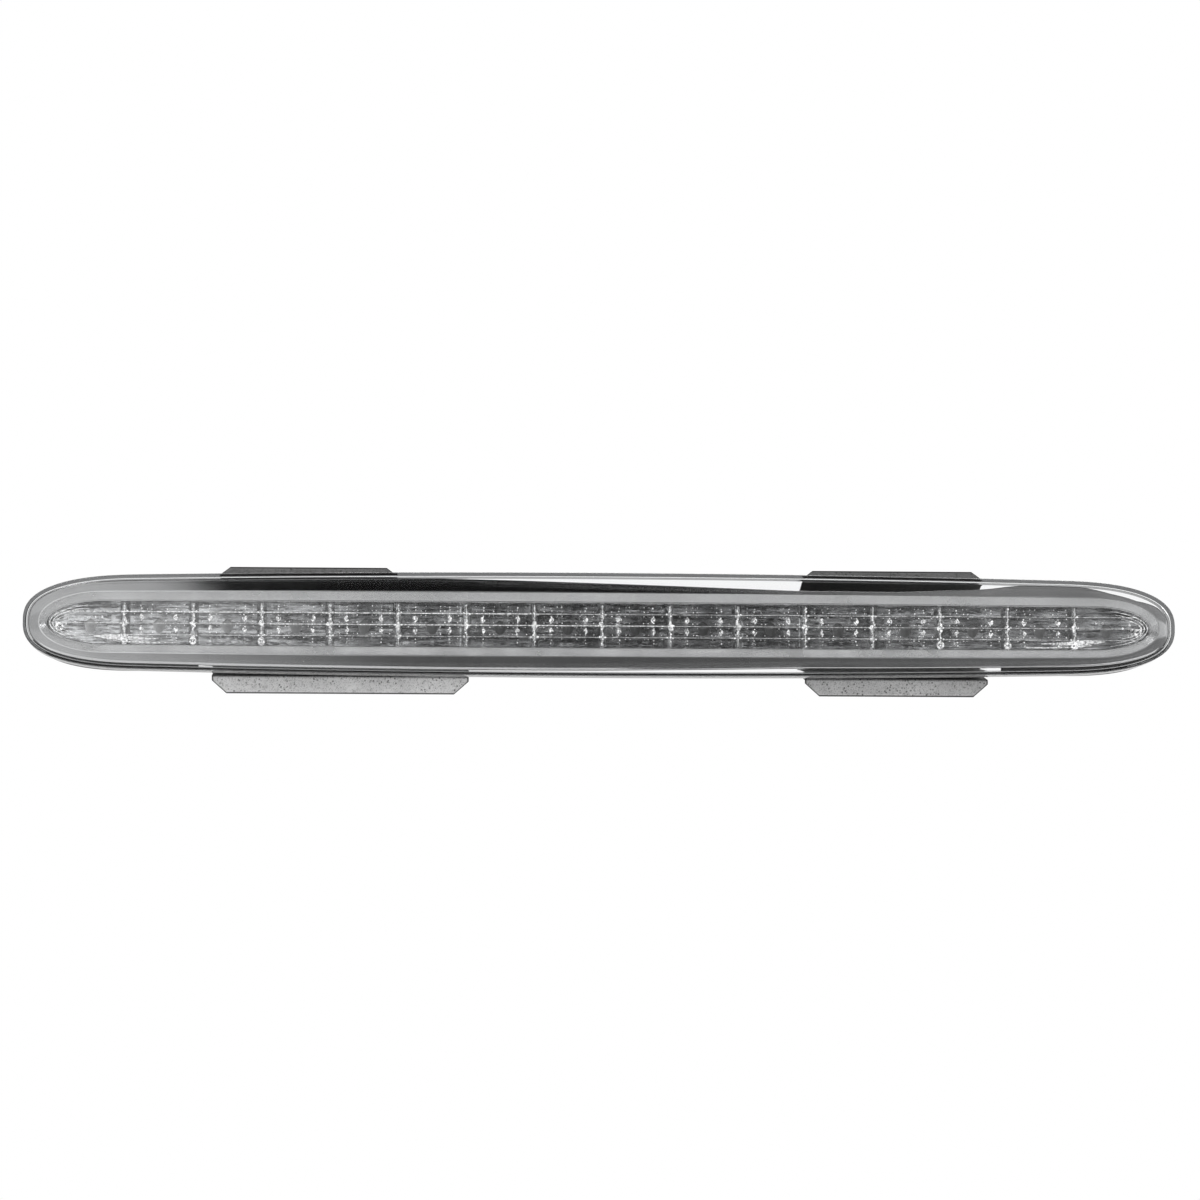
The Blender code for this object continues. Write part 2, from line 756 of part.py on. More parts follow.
def clip_screws(shop):
    """Pan-head screws that hold each clip's base to the housing's bosses."""
    face = BASE_FRONT_Y + SHEET + GAP
    point = face - CLIP_SCREW_REACH
    profile = [(SCREW_POINT_R, point), (CLIP_SCREW_R, point + SCREW_TAPER), (CLIP_SCREW_R, face)]
    profile += [(radius, face + rise) for radius, rise in CLIP_SCREW_HEAD]
    places = [x for _, _, screws in CLIP_BASES.values() for x in screws]
    for number, x in enumerate(places, start=1):
        screw = shop.part(f"clip_screw_{number}", turned(profile, SMALL_STEPS), "zinc_steel")
        screw.location.x = x


def shade_smooth(collection):
    for obj in collection.objects:
        obj.data.shade_smooth()
        obj.data.set_sharp_from_angle(angle=math.radians(35))


def main():
    clear_scene()
    shop = Workshop()
    outer_lens(shop)
    chrome_bezel(shop)
    optic_insert(shop)
    reflector_tray(shop)
    leds(shop)
    circuit_board(shop)
    small_parts(shop)
    board_screws(shop)
    rear_housing(shop)
    end_pads(shop)
    connector(shop)
    breather_vent(shop)
    clip_bases(shop)
    clip_legs(shop)
    clip_screws(shop)
    shade_smooth(shop.parts)


main()
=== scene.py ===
import math
from collections import namedtuple

import bmesh
import bpy
import numpy as np
from mathutils import Matrix, Vector


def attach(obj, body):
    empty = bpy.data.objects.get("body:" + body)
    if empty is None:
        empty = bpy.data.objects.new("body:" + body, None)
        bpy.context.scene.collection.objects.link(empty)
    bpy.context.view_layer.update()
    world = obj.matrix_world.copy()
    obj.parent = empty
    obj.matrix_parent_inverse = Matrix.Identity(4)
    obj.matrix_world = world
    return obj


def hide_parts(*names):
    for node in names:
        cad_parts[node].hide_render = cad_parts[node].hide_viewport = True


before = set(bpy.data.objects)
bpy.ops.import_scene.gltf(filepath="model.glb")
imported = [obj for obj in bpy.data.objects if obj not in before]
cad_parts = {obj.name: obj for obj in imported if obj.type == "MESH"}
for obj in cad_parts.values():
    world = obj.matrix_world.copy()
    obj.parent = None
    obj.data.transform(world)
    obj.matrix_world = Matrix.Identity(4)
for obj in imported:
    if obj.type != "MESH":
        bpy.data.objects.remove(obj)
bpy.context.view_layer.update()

# Lengths are in millimetres, apart from those of the materials and the stage, in metres.
# Pieces are scaled as they are made.
MM = 0.001
LAMP = "lamp_body"
SHARP_ANGLE = 35.0

# The lamp's outlines, seen from the front.
Outline = namedtuple("Outline", "half_length half_height shoulder bow power")
LENS = Outline(215.0, 19.4, 172.0, 5.86e-5, 2.6)
PAD = Outline(213.2, 17.4, 172.0, 0.0, 2.6)
TUB = Outline(209.5, 12.5, 180.0, 0.0, 2.3)
RECESS = Outline(209.0, 11.95, 185.0, 2.2e-5, 2.1)
WINDOW = Outline(206.3, 8.4, 185.0, 1.2e-5, 2.0)
BOW_STEPS = 40
END_STEPS = 36

CELLS = 16
CELL_PITCH = 25.4
FLUTE_PITCH = 4.3


# ---- mesh helpers


def quarter(outline, inset=0.0):
    """(x, z) from the middle of the top edge to the tip of an outline."""
    half_height, half_length = outline.half_height - inset, outline.half_length - inset
    straight = np.linspace(0.0, outline.shoulder, BOW_STEPS, endpoint=False)
    angle = np.linspace(0.0, 0.5 * math.pi, END_STEPS + 1)
    reach = half_length - outline.shoulder
    curved = outline.shoulder + reach * np.sin(angle) ** (2 / outline.power)
    x = np.concatenate([straight, curved])
    drop = np.concatenate([np.ones(BOW_STEPS), np.cos(angle).clip(0) ** (2 / outline.power)])
    z = (half_height - outline.bow * x * x) * drop
    z[-1] = 0.0
    return np.column_stack([x, z])


def loop(outline, inset=0.0):
    top = quarter(outline, inset)
    right = np.vstack([top, top[-2::-1] * (1, -1)])
    left = right[-2:0:-1] * (-1, 1)
    return np.vstack([right, left])


def grid(x, y, z):
    """Points (x, y, z) along the last axis; any of the three may be one number."""
    return np.stack(np.broadcast_arrays(x, y, z), axis=-1)


def level(points, y):
    """(x, z) points with their y put in."""
    return grid(points[:, 0], y, points[:, 1])


def ring(outline, y, inset=0.0):
    return level(loop(outline, inset), y)


def travelled(points):
    """Distance along a line of points from its start to each."""
    return np.concatenate([[0.0], np.cumsum(np.hypot(*np.diff(points, axis=0).T))])


def directions(points):
    """Unit direction of a line of points at each."""
    along = np.gradient(points, axis=0)
    return along / np.linalg.norm(along, axis=1)[:, None]


def circle(steps):
    return np.linspace(0, 2 * math.pi, steps, endpoint=False)


def round_ring(radius, y, turn, at=(0.0, 0.0)):
    return grid(at[0] + radius * np.cos(turn), y, at[1] + radius * np.sin(turn))


def ladder(offset, count):
    """Faces that close a ring of an outline with rungs from its top edge to its bottom edge."""
    side = (count + 4) // 4
    faces = []
    for k in range(side - 1):
        right = [k, k + 1, 2 * side - 3 - k, 2 * side - 2 - k]
        left = [(4 * side - 4 - k) % count, 4 * side - 5 - k, 2 * side - 1 + k, 2 * side - 2 + k]
        for quad in (right, left):
            corners = list(dict.fromkeys(quad))
            faces.append([offset + i for i in corners])
    return faces


def skin(rings, closed=False, rungs=False):
    """(vertices, faces) of rings joined in order, capped at both ends or carried round."""
    count = len(rings[0])
    faces = []
    spans = [(i, i + 1) for i in range(len(rings) - 1)]
    if closed:
        spans.append((len(rings) - 1, 0))
    for a, b in spans:
        for i in range(count):
            j = (i + 1) % count
            faces.append([a * count + i, a * count + j, b * count + j, b * count + i])
    if not closed:
        last = (len(rings) - 1) * count
        if rungs:
            faces += ladder(0, count) + ladder(last, count)
        else:
            faces += [list(range(count)), list(range(last, last + count))]
    return np.vstack(rings), faces


def sheet_solid(front, back):
    """A closed solid between two equal grids of points."""
    rows, columns = front.shape[:2]
    total = rows * columns
    index = np.arange(total).reshape(rows, columns)
    quads = np.stack([index[:-1, :-1], index[:-1, 1:], index[1:, 1:], index[1:, :-1]], axis=-1)
    quads = quads.reshape(-1, 4)
    edge = np.concatenate([index[0, :], index[1:, -1], index[-1, -2::-1], index[-2:0:-1, 0]])
    wall = np.column_stack([edge, np.roll(edge, -1), np.roll(edge, -1) + total, edge + total])
    faces = np.vstack([quads, quads[:, ::-1] + total, wall]).tolist()
    return np.vstack([front.reshape(-1, 3), back.reshape(-1, 3)]), faces


def turned(profile, steps=32, at=(0.0, 0.0)):
    """A turned solid about Y through (x, z) = at; profile lists (radius, y)."""
    turn = circle(steps)
    return skin([round_ring(radius, y, turn, at) for radius, y in profile])


def block(low, high):
    x, y, z = zip(low, high)
    corners = ((x[0], z[0]), (x[1], z[0]), (x[1], z[1]), (x[0], z[1]))
    return skin([level(np.array(corners), v) for v in y])


def drilled(mesh, places_x, radius, front, rear):
    """The mesh with round holes along Y."""
    holes = [turned([(radius, front), (radius, rear)], 32, (x, 0)) for x in places_x]
    return cut(mesh, joined(*holes))


def joined(*solids):
    points, faces, offset = [], [], 0
    for v, f in solids:
        points.append(v)
        faces += [[offset + i for i in face] for face in f]
        offset += len(v)
    return np.vstack(points), faces


def mesh_of(name, solid, sharp=SHARP_ANGLE):
    points, faces = solid
    mesh = bpy.data.meshes.new(name)
    mesh.from_pydata((np.asarray(points) * MM).tolist(), [], faces)
    bm = bmesh.new()
    bm.from_mesh(mesh)
    bmesh.ops.remove_doubles(bm, verts=bm.verts, dist=1e-7)
    bmesh.ops.recalc_face_normals(bm, faces=bm.faces)
    bm.to_mesh(mesh)
    bm.free()
    mesh.shade_smooth()
    mesh.set_sharp_from_angle(angle=math.radians(sharp))
    return mesh


def placed(name, data):
    obj = bpy.data.objects.new(name, data)
    bpy.context.scene.collection.objects.link(obj)
    return obj


def piece(name, shape, finish, nodes=(), body=LAMP, sharp=SHARP_ANGLE, bevel=0.0, segments=2):
    """Adds a piece of the lamp: shape is a (points, faces) solid or a finished mesh."""
    mesh = shape if isinstance(shape, bpy.types.Mesh) else mesh_of(name, shape, sharp)
    mesh.materials.clear()
    mesh.materials.append(FINISH[finish])
    obj = placed(name, mesh)
    if bevel:
        modifier = obj.modifiers.new("rounded_edges", "BEVEL")
        modifier.width = bevel * MM
        modifier.segments = segments
        modifier.limit_method = "ANGLE"
        modifier.angle_limit = math.radians(SHARP_ANGLE)
        modifier.harden_normals = True
    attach(obj, body)
    if nodes:
        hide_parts(*nodes)
    return obj


def cut(mesh, *cutters):
    """The mesh less other solids, as a new mesh."""
    target = placed("cut_target", mesh)
    tools = []
    for number, solid in enumerate(cutters):
        tool = placed(f"cut_tool_{number}", mesh_of("cut_tool", solid))
        modifier = target.modifiers.new("cut", "BOOLEAN")
        modifier.operation = "DIFFERENCE"
        modifier.solver = "EXACT"
        modifier.object = tool
        tools.append(tool)
    bpy.context.view_layer.update()
    graph = bpy.context.evaluated_depsgraph_get()
    result = bpy.data.meshes.new_from_object(target.evaluated_get(graph))
    for obj in [target, *tools]:
        bpy.data.objects.remove(obj)
    result.shade_smooth()
    result.set_sharp_from_angle(angle=math.radians(SHARP_ANGLE))
    return result


# ---- materials


def rgba(colour):
    """A grey or an (r, g, b) colour, opaque."""
    return (*(colour if isinstance(colour, tuple) else (colour,) * 3), 1.0)


class Finish:
    """A procedural material: a Principled shader fed by textures in object space."""

    def __init__(self, name, colour, roughness, metallic=0.0, **sockets):
        self.material = bpy.data.materials.new(name)
        self.material.use_nodes = True
        self.tree = self.material.node_tree
        self.shader = self.tree.nodes["Principled BSDF"]
        self.set("Base Color", rgba(colour))
        self.set("Roughness", roughness)
        self.set("Metallic", metallic)
        for socket, value in sockets.items():
            self.set(socket.replace("_", " "), value)
        self.place = self.tree.nodes.new("ShaderNodeTexCoord").outputs["Object"]
        self.normal = None

    def set(self, socket, value):
        self.shader.inputs[socket].default_value = value

    def link(self, output, socket):
        self.tree.links.new(output, self.shader.inputs[socket])

    def feed(self, socket, value):
        """Links an output into a socket, or sets the socket's own value."""
        if isinstance(value, bpy.types.NodeSocket):
            self.tree.links.new(value, socket)
        else:
            socket.default_value = value

    def node(self, kind, **inputs):
        node = self.tree.nodes.new("ShaderNode" + kind)
        for name, value in inputs.items():
            self.feed(node.inputs[name.replace("_", " ")], value)
        return node

    def stretched(self, scale):
        return self.node("Mapping", Vector=self.place, Scale=scale).outputs["Vector"]

    def noise(self, scale, detail=3.0, stretch=(1, 1, 1), rough=0.5):
        where = self.stretched(stretch)
        node = self.node("TexNoise", Vector=where, Scale=scale, Detail=detail, Roughness=rough)
        return node.outputs["Fac"]

    def voronoi(self, scale):
        return self.node("TexVoronoi", Vector=self.place, Scale=scale)

    def cells(self, scale):
        """Distance to the middle of the nearest cell of a Voronoi pattern."""
        return self.voronoi(scale).outputs["Distance"]

    def tones(self, scale):
        """One random value for each cell of a Voronoi pattern."""
        split = self.node("SeparateColor", Color=self.voronoi(scale).outputs["Color"])
        return split.outputs["Red"]

    def remap(self, value, low, high, start=0.3, end=0.7):
        limits = {"From Min": start, "From Max": end, "To Min": low, "To Max": high}
        return self.node("MapRange", Value=value, **limits).outputs["Result"]

    def maths(self, operation, a, b):
        node = self.tree.nodes.new("ShaderNodeMath")
        node.operation = operation
        for socket, value in zip(node.inputs, (a, b)):
            self.feed(socket, value)
        return node.outputs[0]

    def mix(self, share, a, b):
        """Colour between a and b; each is a socket, a grey or (r, g, b)."""
        node = self.tree.nodes.new("ShaderNodeMix")
        node.data_type = "RGBA"
        self.feed(node.inputs[0], share)
        for socket, colour in zip(node.inputs[6:8], (a, b)):
            linked = isinstance(colour, bpy.types.NodeSocket)
            self.feed(socket, colour if linked else rgba(colour))
        return node.outputs[2]

    def paint(self, share, a, b):
        self.link(self.mix(share, a, b), "Base Color")

    def bump(self, height, distance, strength=1.0):
        inputs = {"Height": height, "Distance": distance, "Strength": strength}
        if self.normal is not None:
            inputs["Normal"] = self.normal
        self.normal = self.node("Bump", **inputs).outputs["Normal"]
        self.link(self.normal, "Normal")


def cover_plastic(name):
    """Clear plastic with painted shade in its rim: the rim is tinted nearly black for the dark
    edge where light runs along the wall.
    """
    f = Finish(name, (0.98, 0.985, 0.99), 0.015, IOR=1.49, Transmission_Weight=1.0)
    depth = f.node("SeparateXYZ", Vector=f.place).outputs["Y"]
    # Painted shade: the colour turns nearly black towards the back of the rim.
    rim = f.remap(depth, 0.0, 1.0, -0.0079, -0.0072)
    f.paint(rim, (0.98, 0.985, 0.99), (0.035, 0.036, 0.037))
    f.bump(f.noise(45.0, 2.0, (1, 1, 2)), 0.00001, 0.3)
    scuffs = f.remap(f.noise(1400.0, 2.0, (0.08, 1, 1)), 0.0, 1.0, 0.66, 0.8)
    f.bump(scuffs, 0.000002, 0.25)
    specks = f.remap(f.cells(260.0), 1.0, 0.0, 0.012, 0.03)
    f.link(f.maths("ADD", f.maths("MULTIPLY", specks, 0.5), 0.015), "Roughness")
    return f.material


def painted_highlight_glow(name, tone):
    """Moulded detail on the optic, with painted highlights: it glows in speckled white, standing
    in for light the moulding scatters towards the viewer.
    """
    f = Finish(name, tone, 0.12, IOR=1.49, Transmission_Weight=0.05)
    f.paint(f.remap(f.noise(800.0, 3.0), 0.0, 1.0), tone, tone * 0.6)
    f.bump(f.noise(1500.0, 3.0), 0.00005, 0.8)
    # Painted highlight: a speckled white glow, though the optic is no lamp.
    painted_glint = f.remap(f.noise(1300.0, 4.0, rough=0.7), 0.0, 1.0, 0.44, 0.58)
    f.link(f.mix(painted_glint, 0.03, 1.0), "Emission Color")
    f.set("Emission Strength", 1.0)
    return f.material


def optic_plastic(name):
    """Clear plastic with fine draw lines along the lamp."""
    f = Finish(name, (0.97, 0.975, 0.98), 0.03, IOR=1.49, Transmission_Weight=1.0)
    f.link(f.remap(f.noise(60.0), 0.02, 0.05), "Roughness")
    f.bump(f.noise(700.0, 3.0, (0.08, 1, 1), 0.6), 0.00006, 0.8)
    f.bump(f.noise(500.0, 3.0, (0.6, 1, 1)), 0.00004, 0.6)
    return f.material


def reflector_metal(name):
    """Metallised floor with fine ribs along the lamp, its colour painted with light and dark
    streaks along it: painted reflection of the streaky light seen through the optic.
    """
    f = Finish(name, 0.6, 0.16, 1.0)
    # Painted reflection: light and dark streaks along the lamp, set in the metal's colour.
    streaks = f.remap(f.noise(1300.0, 3.0, (0.07, 1, 1), 0.6), 0.0, 1.0, 0.42, 0.60)
    fine = f.remap(f.noise(3200.0, 2.0, (0.14, 1, 1)), 0.0, 1.0, 0.44, 0.60)
    tone = f.mix(streaks, 0.12, 0.95)
    tone = f.mix(f.maths("MULTIPLY", fine, 0.7), tone, 1.0)
    patches = f.remap(f.noise(170.0, 3.0, (0.5, 1, 1)), 0.0, 0.6, 0.45, 0.66)
    f.paint(patches, tone, 0.10)
    f.bump(f.noise(1600.0, 2.0, (0.05, 1, 1)), 0.00016, 0.9)
    f.bump(f.noise(260.0, 2.0, (0.5, 1, 1)), 0.00010, 0.4)
    return f.material


def chrome(name, tone, roughness):
    f = Finish(name, (tone, tone, tone * 1.01), roughness, 1.0)
    f.link(f.remap(f.noise(90.0, 4.0), roughness * 0.7, roughness * 1.5), "Roughness")
    haze = f.remap(f.noise(35.0, 5.0, (1, 1, 2.5)), 0.0, 1.0, 0.45, 0.75)
    f.paint(haze, tone, tone * 0.86)
    f.bump(f.noise(70.0, 2.0, (0.6, 1, 1.5)), 0.00002, 0.3)
    specks = f.remap(f.cells(420.0), 1.0, 0.0, 0.02, 0.07)
    f.bump(specks, 0.00001, 0.4)
    return f.material


def zinc_steel(name, shade=1.0, metallic=0.5):
    # shade gives lighter and darker copies of the one zinc steel: painted light and shade.
    f = Finish(name, 0.8, 0.38, metallic)
    spangle = f.remap(f.tones(330.0), 0.0, 1.0, 0.0, 1.0)
    cloud = f.remap(f.noise(90.0, 5.0), 0.0, 1.0)
    tone = f.mix(cloud, 0.70 * shade, 0.88 * shade)
    tone = f.mix(f.maths("MULTIPLY", spangle, 0.25), tone, 0.62 * shade)
    grime = f.remap(f.noise(520.0, 6.0, rough=0.75), 0.0, 1.0, 0.52, 0.68)
    tone = f.mix(f.maths("MULTIPLY", grime, 0.5), tone, 0.30 * shade)
    grain = f.remap(f.noise(2300.0, 2.0), 0.0, 0.55, 0.52, 0.70)
    tone = f.mix(grain, tone, 0.16 * shade)
    pits = f.remap(f.cells(800.0), 1.0, 0.0, 0.15, 0.34)
    patchy = f.remap(f.noise(150.0, 2.0), 0.0, 1.0, 0.42, 0.54)
    pits = f.maths("MULTIPLY", pits, patchy)
    tone = f.mix(f.maths("MULTIPLY", pits, 0.85), tone, 0.07)
    # Painted shade: a thin dark line along the legs' edges.
    edge = f.node("Attribute")
    edge.attribute_name = "edge_painted_shade"
    tone = f.mix(edge.outputs["Fac"], tone, 0.05)
    f.link(tone, "Base Color")
    f.link(f.remap(f.noise(260.0, 5.0), 0.34, 0.52), "Roughness")
    scratches = f.remap(f.noise(900.0, 2.0, (0.06, 1, 1.0)), 0.0, 1.0, 0.62, 0.75)
    f.bump(scratches, 0.000012, 0.5)
    f.bump(f.noise(700.0, 3.0), 0.00002, 0.5)
    f.bump(pits, -0.00003, 0.8)
    return f.material


def black_plastic(name, tone=0.018, roughness=0.42):
    f = Finish(name, (tone, tone, tone * 1.05), roughness)
    cloud = f.remap(f.noise(40.0, 5.0), 0.0, 1.0, 0.4, 0.7)
    colour = f.mix(cloud, tone, tone * 1.9)
    dust = f.remap(f.noise(900.0, 3.0), 0.0, 1.0, 0.66, 0.78)
    colour = f.mix(f.maths("MULTIPLY", dust, 0.35), colour, (0.16, 0.16, 0.155))
    f.link(colour, "Base Color")
    f.link(f.remap(f.noise(180.0, 4.0), roughness * 0.8, roughness * 1.3), "Roughness")
    f.bump(f.cells(1500.0), 0.00003, 0.45)
    f.bump(f.noise(55.0, 2.0), 0.0001, 0.2)
    return f.material


def foam(name):
    f = Finish(name, 0.014, 0.92)
    # Darker in each pore's pit: the foam's own pore texture, and painted shade in the hollows.
    pores = f.remap(f.cells(1300.0), 0.0, 1.0, 0.1, 0.55)
    f.paint(pores, 0.004, 0.024)
    f.bump(pores, 0.00012, 0.9)
    f.bump(f.noise(500.0, 4.0), 0.00008, 0.6)
    return f.material


def board_green(name):
    f = Finish(name, (0.03, 0.16, 0.07), 0.38)
    layout = {"Scale": 160.0, "Mortar Size": 0.06, "Brick Width": 1.6, "Row Height": 0.4}
    tracks = f.node("TexBrick", Vector=f.place, **layout).outputs["Fac"]
    f.paint(tracks, (0.025, 0.13, 0.06), (0.05, 0.24, 0.11))
    f.link(f.remap(f.noise(300.0), 0.3, 0.5), "Roughness")
    f.bump(tracks, 0.00003, 0.6)
    return f.material


def satin(name, colour, roughness, metallic=0.0):
    f = Finish(name, colour, roughness, metallic)
    darker = tuple(0.7 * c for c in colour)
    f.paint(f.remap(f.noise(270.0, 4.0), 0.0, 1.0), colour, darker)
    f.link(f.remap(f.noise(450.0, 3.0), roughness * 0.75, roughness * 1.3), "Roughness")
    f.bump(f.noise(900.0, 3.0), 0.00002, 0.5)
    return f.material


def led_painted_glow(name):
    """Dome with painted light: it glows as brightly as the floor of its own cell shows at its
    place along the lamp, standing in for reflected light.
    """
    f = Finish(name, 0.30, 0.35, 0.5)
    place = f.node("ObjectInfo").outputs["Location"]
    along = f.node("SeparateXYZ", Vector=place).outputs["X"]
    left = f.remap(along, 0.30, 0.045, -0.19, -0.05)
    right = f.remap(along, 0.0, 0.06, 0.05, 0.19)
    tone = f.maths("ADD", left, right)
    patchy = f.remap(f.noise(900.0, 3.0, (0.2, 1, 1)), 0.5, 1.3)
    tone = f.maths("MULTIPLY", tone, patchy)
    # Painted light: the glow is brightest at the left end, dimmest in the middle and a little
    # brighter at the right.
    f.link(tone, "Emission Strength")
    f.set("Emission Color", (1.0, 1.0, 1.0, 1.0))
    f.bump(f.noise(500.0, 3.0), 0.00002, 0.5)
    return f.material


FINISH = {
    "cover": cover_plastic("clear_cover"),
    # Moulded optic detail with a painted glow of highlights.
    "ridge": painted_highlight_glow("optic_ridge_painted_glow", 0.92),
    "optic": optic_plastic("ribbed_optic"),
    "frame": chrome("bright_frame", 0.80, 0.06),
    "recess": chrome("satin_recess", 0.78, 0.20),
    "reflector": reflector_metal("metallised_reflector"),
    "zinc": zinc_steel("zinc_plated_steel"),
    # Lighter and darker copies of the zinc steel: painted light on one leg, painted shade on the
    # plates and upper legs.
    "zinc_painted_light": zinc_steel("zinc_steel_painted_light", 1.12, 0.2),
    "plate_painted_shade": zinc_steel("zinc_plate_painted_shade", 0.7),
    "zinc_painted_shade": zinc_steel("zinc_steel_painted_shade", 0.32),
    "housing": black_plastic("moulded_black_plastic"),
    "socket": black_plastic("socket_black_plastic", 0.022, 0.36),
    "foam": foam("closed_cell_foam"),
    "board": board_green("lacquered_board"),
    # LED domes that glow with painted light.
    "led": led_painted_glow("led_painted_glow"),
    "dark": satin("component_resin", (0.035, 0.035, 0.038), 0.5),
    "tinned": satin("tinned_brass", (0.78, 0.76, 0.70), 0.25, 1.0),
    "vent": satin("vent_cap_plastic", (0.17, 0.17, 0.175), 0.55),
}


# ---- cover and frame

LENS_REAR, LENS_EDGE, LENS_RISE = -2.3, -10.0, 2.0
LENS_RIM, LENS_WALL, LENS_ROUND = 1.3, 2.0, 0.8
DOME_REACH = 16.5
DOME_INSETS = (0.8, 1.1, 1.5, 2.2, 3.1, 4.3, 6.0, 8.0, 10.5, 13.2, 16.0)


def dome(inset):
    return LENS_RISE * (1 - (1 - inset / DOME_REACH) ** 2)


def cover_lens():
    """Clear cover: shallow dome, rounded edge and a rim wall, open behind."""
    base = dome(LENS_ROUND)
    rings = [ring(LENS, LENS_EDGE - dome(i) + base, i) for i in DOME_INSETS[::-1]]
    for angle in np.radians((20, 40, 60, 80)):
        behind, inset = LENS_ROUND * (1 - math.cos(angle)), LENS_ROUND * (1 - math.sin(angle))
        rings.append(ring(LENS, LENS_EDGE + behind, inset))
    inner = LENS_EDGE + LENS_WALL
    wall = ((LENS_EDGE + LENS_ROUND, 0.0), (LENS_REAR - 0.25, 0.0), (LENS_REAR, 0.25))
    wall += ((LENS_REAR, LENS_RIM - 0.2), (LENS_REAR - 0.2, LENS_RIM))
    wall += ((inner + 0.6, LENS_RIM), (inner + 0.15, LENS_RIM + 0.2))
    rings += [ring(LENS, y, inset) for y, inset in wall]
    rings += [ring(LENS, inner - dome(i) + base, i) for i in DOME_INSETS if i > LENS_RIM + 0.5]
    solid = skin(rings, rungs=True)
    return piece("cover_lens", solid, "cover", ["outer_lens"])


FRAME_REAR, FRAME_LIP, WINDOW_FRONT = -4.6, -7.7, -5.2
FRAME_CLEARANCE = 1.5
FRAME_SLOPE, FRAME_CURVE = 0.1405, 0.073
# How much further than the clearance the frame stops short of the rim: (x, distance).
EDGE_TOP = [
    (-215, 0.3), (-205, 0.15), (-80, 0.15), (-65, 0.35), (0, 2.3), (75, 4.4), (110, 4.2),
    (144, 2.4), (158, 0.3), (180, 0.3), (192, 2.0), (203, 2.6), (210, 1.2), (215, 0.3),
]
EDGE_BOTTOM = [
    (-215, 0.3), (-200, 0.6), (-150, 0.6), (-145, 0.3), (-52, 0.3), (-50, 0.4), (0, 0.8),
    (75, 1.8), (110, 1.6), (144, 1.5), (170, 1.3), (200, 1.0), (215, 0.3),
]


def between(a, b, share):
    return a + (b - a) * share


def frame_edge(inset=0.0):
    """The frame's outer edge, seen from the front, drawn in by inset."""
    near = loop(LENS, FRAME_CLEARANCE + inset)
    inward = loop(LENS, FRAME_CLEARANCE + inset + 1.0) - near
    top = np.interp(near[:, 0], *zip(*EDGE_TOP))
    bottom = np.interp(near[:, 0], *zip(*EDGE_BOTTOM))
    margin = np.where(near[:, 1] >= 0, top, bottom)
    return near + margin[:, None] * inward


def beside(guide, outline, inset=0.0):
    """The point of an outline nearest to each point of a guide loop."""
    sparse = loop(outline, inset)
    closed = np.vstack([sparse, sparse[:1]])
    length = travelled(closed)
    spots = np.linspace(0.0, length[-1], 6000, endpoint=False)
    dense = np.column_stack([np.interp(spots, length, closed[:, i]) for i in (0, 1)])
    apart = np.linalg.norm(guide[:, None] - dense[None], axis=2)
    return dense[np.argmin(apart, axis=1)]


def frame_moulding():
    """Bright frame: a gently convex face with a tight outer edge and a rounded lip."""
    outer = frame_edge()
    lip = beside(outer, RECESS)
    width = np.linalg.norm(outer - lip, axis=1)

    def face(share):
        return FRAME_LIP + width * (FRAME_SLOPE * share + FRAME_CURVE * share * share)

    edge = face(1.0)
    rings = [level(outer, FRAME_REAR), level(outer, edge + 0.55)]
    for drawn_in, back in ((0.04, 0.32), (0.14, 0.14), (0.30, 0.03)):
        rings.append(level(frame_edge(drawn_in), edge + back))
    inner = frame_edge(0.5)
    for share in np.linspace(0.98, 0.03, 12):
        rings.append(level(between(lip, inner, share), face(share)))
    for inset, back in ((0.08, 0.04), (0.15, 0.16), (0.15, 1.0), (-0.25, 1.2)):
        rings.append(level(beside(outer, RECESS, inset), FRAME_LIP + back))
    rings += [level(frame_edge(1.0), edge + 0.9), level(frame_edge(1.0), FRAME_REAR)]
    solid = skin(rings, closed=True)
    return piece("frame_moulding", solid, "frame", ["chrome_bezel"])


def frame_recess():
    """Wall that slopes from the frame's lip down to the window, with a bead round the window."""
    lip, window = loop(RECESS, 0.16), loop(WINDOW)
    foot = loop(WINDOW, -0.45)
    drop = WINDOW_FRONT - FRAME_LIP - 0.55
    rings = []
    for share in np.linspace(0.0, 1.0, 7):
        rings.append(level(between(lip, foot, share), FRAME_LIP + 0.3 + drop * share))
    for rise, inset in ((0.30, -0.33), (0.34, -0.20), (0.26, -0.06), (0.10, 0.0)):
        rings.append(ring(WINDOW, WINDOW_FRONT - rise, inset))
    rings.append(level(window, WINDOW_FRONT + 0.5))
    rings.append(ring(WINDOW, WINDOW_FRONT + 0.7, -0.6))
    rings.append(level(lip, FRAME_LIP + 1.2))
    return piece("frame_recess", skin(rings, closed=True), "recess")


# ---- optic

OPTIC_ROOT, OPTIC_CREST = -4.1, -4.6
OPTIC_PLATE_REAR = -1.8
OPTIC_ROWS = 96
END_CELL_X = 178.0
RING_Z = -6.45


def dividers():
    return CELL_PITCH * np.arange(-(CELLS // 2 - 1), CELLS // 2)


def cell_centres():
    return CELL_PITCH * (np.arange(CELLS) - 0.5 * (CELLS - 1))


def rounded(distance, half_width, height):
    """Height of a round-topped ridge at a distance from its middle."""
    return height * np.sqrt(np.clip(1 - (distance / half_width) ** 2, 0, 1))


